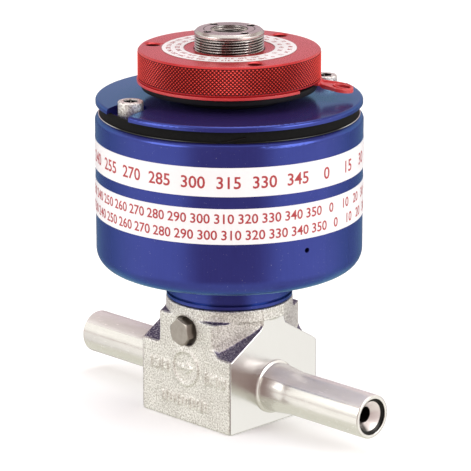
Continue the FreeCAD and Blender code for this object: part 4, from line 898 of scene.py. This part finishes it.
red = Finish("red_anodised", Metallic=0.4, IOR=1.45, Specular_Tint=(1.0, 0.5, 0.6), Coat_Roughness=0.3)
here = red.place()
height = red.part(here, "Z")
facing = red.grain(here, 0.25 * MM, detail=3)
dye = red.grain(here, 8 * MM, detail=2)
# Painted light: the knurled band gets a lighter red, a painted highlight on its facets, and its grooves
# are painted near black as shade.
below_crest = 1 - red.from_axis(here).between(knurl_root + 0.06 * MM, knurl_root + 0.24 * MM)
knurled = height.inside(knurl_low, knurl_high, 0.05 * MM)
shade = below_crest * knurled
red_tone = red.blend(facing * 0.5 + dye * 0.5, (0.43, 0.013, 0.016), (0.66, 0.030, 0.030))
red_tone = red.blend(knurled, red_tone, red.blend(dye, (0.74, 0.055, 0.040), (0.95, 0.090, 0.065)))
red.set(
    Base_Color=red.blend(shade * 0.92, red_tone, (0.030, 0.0, 0.002)),
    Coat_Weight=(1 - knurled) * 0.6,
    Roughness=facing * 0.10 + knurled * 0.12 + 0.23)
red.bump(facing, 0.02 * MM)
fit_out(hand_ring, red, "override_ring", "red_anodised", "override_ring")

LABEL_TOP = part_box("ring_label")[1][2] + INK_LIFT
LABEL_ROWS = (("ring_scale_outer", 17.5 * MM, 12), ("ring_scale_inner", 14.9 * MM, 15))
LABEL_DIGIT = 1.3 * MM


def round_ring(radius):
    """Digits flat on the ring, with their feet towards its middle."""
    def place(angle, sideways, upwards):
        return *polar(radius + upwards, math.radians(angle) - sideways / radius), LABEL_TOP
    return place


for name, radius, step in LABEL_ROWS:
    row = printed(name, step, LABEL_DIGIT, round_ring(radius))
    fit_out(row, ink, "override_ring", "label_film")


# Piston rod and port bush: turned stainless. The rod's end has an outside thread for the hand ring with
# a plain lead above it, and the bush is screwed into it flush, locked by four holes on the joint.
rod_low, rod_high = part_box("piston_rod")
bush_low, bush_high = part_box("port_bush")
ROD_RADIUS = 10.0 * MM
ROD_TOP = rod_high[2]
TAIL_RADIUS = 6.0 * MM
PISTON_TOP = 57.0 * MM
THREAD_LOW = 96 * MM
THREAD_HIGH = ROD_TOP - 1.15 * MM
THREAD_PITCH = 0.75 * MM
THREAD_DEPTH = 0.46 * MM
THREAD_STEPS = 8
THREAD_SHARP = 50
FLANK_SLOPE, CREST_SHARE = 1.3, 0.12
ROD_COLUMNS = 96
ROD_BEVEL = 0.75 * MM
BUSH_RADIUS = bush_high[0]
BUSH_GAP = 0.05 * MM
AIR_WAY = 1.5 * MM
TIP_RADIUS = 2.5 * MM
TIP_TOP = rod_low[2] + 3.6 * MM
KEY_CIRCLE, KEY_COUNT, KEY_START = 7.6 * MM, 4, math.radians(-9.5)
KEY_RADIUS, KEY_DEPTH, KEY_CHAMFER = 1.15 * MM, 2.5 * MM, 0.05 * MM
PORT_RADIUS, PORT_FLOOR = 3.5 * MM, 1.2 * MM
PORT_MOUTH, PORT_MOUTH_DEPTH = 5.2 * MM, 0.9 * MM
PORT_THREAD_DEPTH = 0.4 * MM


def thread_radius(crest, depth, height, low, high):
    """Radius of a screw thread at this height, as a function of the angle; it runs out at both ends."""
    share = min(1.0, max(0.0, (height - low) / THREAD_PITCH), max(0.0, (high - height) / THREAD_PITCH))

    def radius(angle):
        turn = (height / THREAD_PITCH - angle / FULL_TURN) % 1.0
        flank = min(1.0, max(0.0, abs(2 * turn - 1) * FLANK_SLOPE - CREST_SHARE))
        return crest - depth * share * flank
    return radius


def thread_outline(crest, depth, low, high):
    """The threaded stretch of an outline, from low to high."""
    steps = round((high - low) / THREAD_PITCH * THREAD_STEPS)
    heights = [low + (high - low) * step / steps for step in range(steps + 1)]
    return [(thread_radius(crest, depth, height, low, high), height) for height in heights]


turned_steel = Finish("rod_steel", Metallic=1.0)
here = turned_steel.place()
height = turned_steel.part(here, "Z")
feed = turned_steel.grain(here, 0.09 * MM, detail=3, stretch=(40.0, 40.0, 1.0))
smudge = turned_steel.grain(here, 1.6 * MM, detail=3)
from_middle = turned_steel.from_axis(here)
# Painted shade: the thread's grooves, the key holes and the port are painted near black; thin dark rings
# mark the bush's joint and the port's mouth edge.
groove = 1 - from_middle.between(ROD_RADIUS - 0.32 * MM, ROD_RADIUS - 0.10 * MM)
groove = groove * height.inside(THREAD_LOW, THREAD_HIGH, 0.1 * MM)
key_holes = from_middle.inside(KEY_CIRCLE - KEY_RADIUS, KEY_CIRCLE + KEY_RADIUS, 0.1 * MM)
key_holes = key_holes * height.inside(ROD_TOP - KEY_DEPTH, ROD_TOP - 0.12 * MM, 0.05 * MM)
port = 1 - from_middle.between(PORT_MOUTH - 0.5 * MM, PORT_MOUTH - 0.3 * MM)
port = port * height.inside(ROD_TOP - 9 * MM, ROD_TOP - PORT_MOUTH_DEPTH + 0.1 * MM, 0.1 * MM)
joint = from_middle.inside(BUSH_RADIUS - 0.05 * MM, BUSH_RADIUS + 0.15 * MM, 0.05 * MM)
joint = joint + from_middle.inside(PORT_MOUTH - 0.05 * MM, PORT_MOUTH + 0.2 * MM, 0.05 * MM)
joint = joint * height.between(ROD_TOP - 0.3 * MM, ROD_TOP - 0.1 * MM)
shade = (groove + key_holes + port + joint).between(0.0, 1.0)
steel_tone = turned_steel.blend(feed * 0.5 + smudge * 0.5, (0.46, 0.42, 0.40), (0.76, 0.71, 0.69))
turned_steel.set(
    Base_Color=turned_steel.blend(shade * 0.88, steel_tone, (0.030, 0.022, 0.020)),
    Roughness=feed * 0.12 + 0.20)
turned_steel.bump(feed, 0.006 * MM)

rod_outline = (
    [(TIP_RADIUS, rod_low[2]), (TAIL_RADIUS, rod_low[2])]
    + [(TAIL_RADIUS, PISTON_TOP), (ROD_RADIUS, PISTON_TOP)]
    + thread_outline(ROD_RADIUS, THREAD_DEPTH, THREAD_LOW, THREAD_HIGH)
    + soften([(ROD_RADIUS, THREAD_HIGH + 0.1 * MM), (ROD_RADIUS, ROD_TOP - ROD_BEVEL, 0.3 * MM),
              (ROD_RADIUS - ROD_BEVEL, ROD_TOP, 0.3 * MM), (BUSH_RADIUS + BUSH_GAP, ROD_TOP, 0.12 * MM),
              (BUSH_RADIUS + BUSH_GAP, bush_low[2])])
    + [(AIR_WAY, bush_low[2]), (AIR_WAY, TIP_TOP), (TIP_RADIUS, TIP_TOP)])
rod = turned("rod_end", rod_outline, ROD_COLUMNS, sharp=THREAD_SHARP)
key_places = circle(KEY_CIRCLE, KEY_COUNT, first=KEY_START)
drill(rod, key_places, KEY_RADIUS, KEY_DEPTH, ROD_TOP, KEY_CHAMFER)
fit_out(rod, turned_steel, "stem_group", "rod_steel", "piston_rod")

port_floor = bush_low[2] + PORT_FLOOR
port_high = ROD_TOP - PORT_MOUTH_DEPTH
port_thread = thread_outline(PORT_RADIUS + PORT_THREAD_DEPTH, PORT_THREAD_DEPTH,
                             port_floor + 0.5 * MM, port_high - 0.3 * MM)
bush_outline = (
    [(AIR_WAY, bush_low[2])]
    + soften([(BUSH_RADIUS, bush_low[2]), (BUSH_RADIUS, ROD_TOP, 0.12 * MM),
              (PORT_MOUTH, ROD_TOP, 0.25 * MM), (PORT_MOUTH, port_high)])
    + port_thread[::-1] + [(PORT_RADIUS, port_floor), (AIR_WAY, port_floor)])
bush = turned("port_insert", bush_outline, ROD_COLUMNS, sharp=THREAD_SHARP)
drill(bush, key_places, KEY_RADIUS, KEY_DEPTH, ROD_TOP, KEY_CHAMFER)
fit_out(bush, turned_steel, "stem_group", "rod_steel", "port_bush")
for name in ("stem", "packing_washer"):
    paint(nodes[name], turned_steel)


# Studio: a pale floor, a white background, two large soft lights at the sides and one above. What the
# metal mirrors is a white tent with its dark opening towards the camera.
CAMERA_AZIMUTH = math.radians(45.17)
CAMERA_ELEVATION = math.radians(15.80)
CAMERA_DISTANCE = 914.9 * MM
CAMERA_TARGET = Vector((1.252, 1.260, 52.78)) * MM
LENS = 240.95
SENSOR = 36
FLOOR_HALF = 3.0
WHITE, BLACK = (1.0, 1.0, 1.0), (0.0, 0.0, 0.0)


def outward(azimuth, elevation):
    """Direction away from the valve; azimuth is counted from the front, to the right."""
    level = math.cos(elevation)
    return Vector((math.sin(azimuth) * level, -math.cos(azimuth) * level, math.sin(elevation)))


def stand(name, held, azimuth, elevation, distance):
    """Camera or lamp on its stand, looking at the valve."""
    away = outward(azimuth, elevation)
    holder = new_piece(name, held)
    holder.location = CAMERA_TARGET + away * distance
    holder.rotation_euler = away.to_track_quat("Z", "Y").to_euler()
    return holder


camera = bpy.data.cameras.new("camera")
camera.lens = LENS
camera.sensor_width = SENSOR
camera.clip_start = 0.01
bpy.context.scene.camera = stand("camera", camera, CAMERA_AZIMUTH, CAMERA_ELEVATION, CAMERA_DISTANCE)

floor_form = bmesh.new()
bmesh.ops.create_grid(floor_form, x_segments=1, y_segments=1, size=FLOOR_HALF)
floor = new_piece("floor", to_mesh("floor", floor_form))
floor.location.z = cad_bounds[0][2]
floor.visible_glossy = False
paper = Finish("paper", Roughness=0.9, Specular_IOR_Level=0.1)
here = paper.place()
fibre = paper.grain(here, 1.5 * MM)
seen = paper.node("LightPath", output="Is Camera Ray")
paper.set(
    Base_Color=paper.blend(fibre, (0.86, 0.86, 0.86), (0.90, 0.90, 0.90)),
    Emission_Color=paper.blend(seen, BLACK, WHITE),
    Emission_Strength=0.22)
paint(floor, paper)

world = bpy.data.worlds.new("tent")
bpy.context.scene.world = world
world.use_nodes = True
world.node_tree.nodes.clear()
tent = NodeMaker(world.node_tree)
direction = tent.node("TexCoord", output="Generated")
rise = tent.part(direction, "Z")
level = tent.node("VectorMath", {"operation": "MULTIPLY"}, {0: direction, 1: (1, 1, 0)})
level = tent.node("VectorMath", {"operation": "NORMALIZE"}, {0: level})
opening = tuple(outward(CAMERA_AZIMUTH, 0))
facing = tent.node("VectorMath", {"operation": "DOT_PRODUCT"}, {0: level, 1: opening}, output="Value")
facing = facing * 0.5 + 0.5
DIM, MID, LIT = (0.30, 0.17, 0.16), (0.37, 0.33, 0.37), (1.27, 1.26, 1.22)
CREAM = (0.82, 0.82, 0.72)
BEHIND = (0.66, 0.52, 0.57)
WALL_STOPS = ((0.0, BEHIND), (0.03, BEHIND), (0.12, CREAM), (0.30, LIT),
              (0.86, LIT), (0.96, DIM), (1.0, DIM))
GROUND_STOPS = ((0.0, MID), (0.20, MID), (0.52, LIT), (0.86, LIT), (0.955, DIM), (1.0, DIM))
wall = tent.node("ValToRGB", {"stops": WALL_STOPS}, {0: facing})
ground = tent.node("ValToRGB", {"stops": GROUND_STOPS}, {0: facing})
# From the ground up: a pale pit, the ground, a dark horizon, the walls, a dark beam and the lit roof.
around = tent.blend(rise.between(-0.02, 0.02), ground, wall)
around = tent.blend(rise.inside(-0.04, 0.01, 0.03) * 0.75, around, DIM)
around = tent.blend(rise.inside(0.60, 0.76, 0.05) * 0.85, around, DIM)
around = tent.blend(rise.between(0.84, 0.92), around, LIT)
around = tent.blend(1 - rise.between(-0.62, -0.40), around, CREAM)
seen = tent.node("LightPath", output="Is Camera Ray")
sky = tent.node("Background", sockets={"Color": tent.blend(seen, around, WHITE), "Strength": 1.0})
output = tent.tree.nodes.new("ShaderNodeOutputWorld")
tent.feed(output.inputs["Surface"], sky)

# Square lamps: degrees to the right of the camera, degrees up, distance, width and power.
LAMPS = (
    ("left_light", -58, 28, 0.9, 0.5, 3.0),
    ("right_light", 60, 22, 0.9, 0.5, 3.4),
    ("top_light", 150, 70, 1.0, 0.6, 2.4),
)
for name, azimuth, elevation, distance, width, power in LAMPS:
    lamp = bpy.data.lights.new(name, "AREA")
    lamp.size = width
    lamp.energy = power
    stand(name, lamp, CAMERA_AZIMUTH + math.radians(azimuth), math.radians(elevation), distance)
bpy.context.scene.view_settings.view_transform = "Standard"
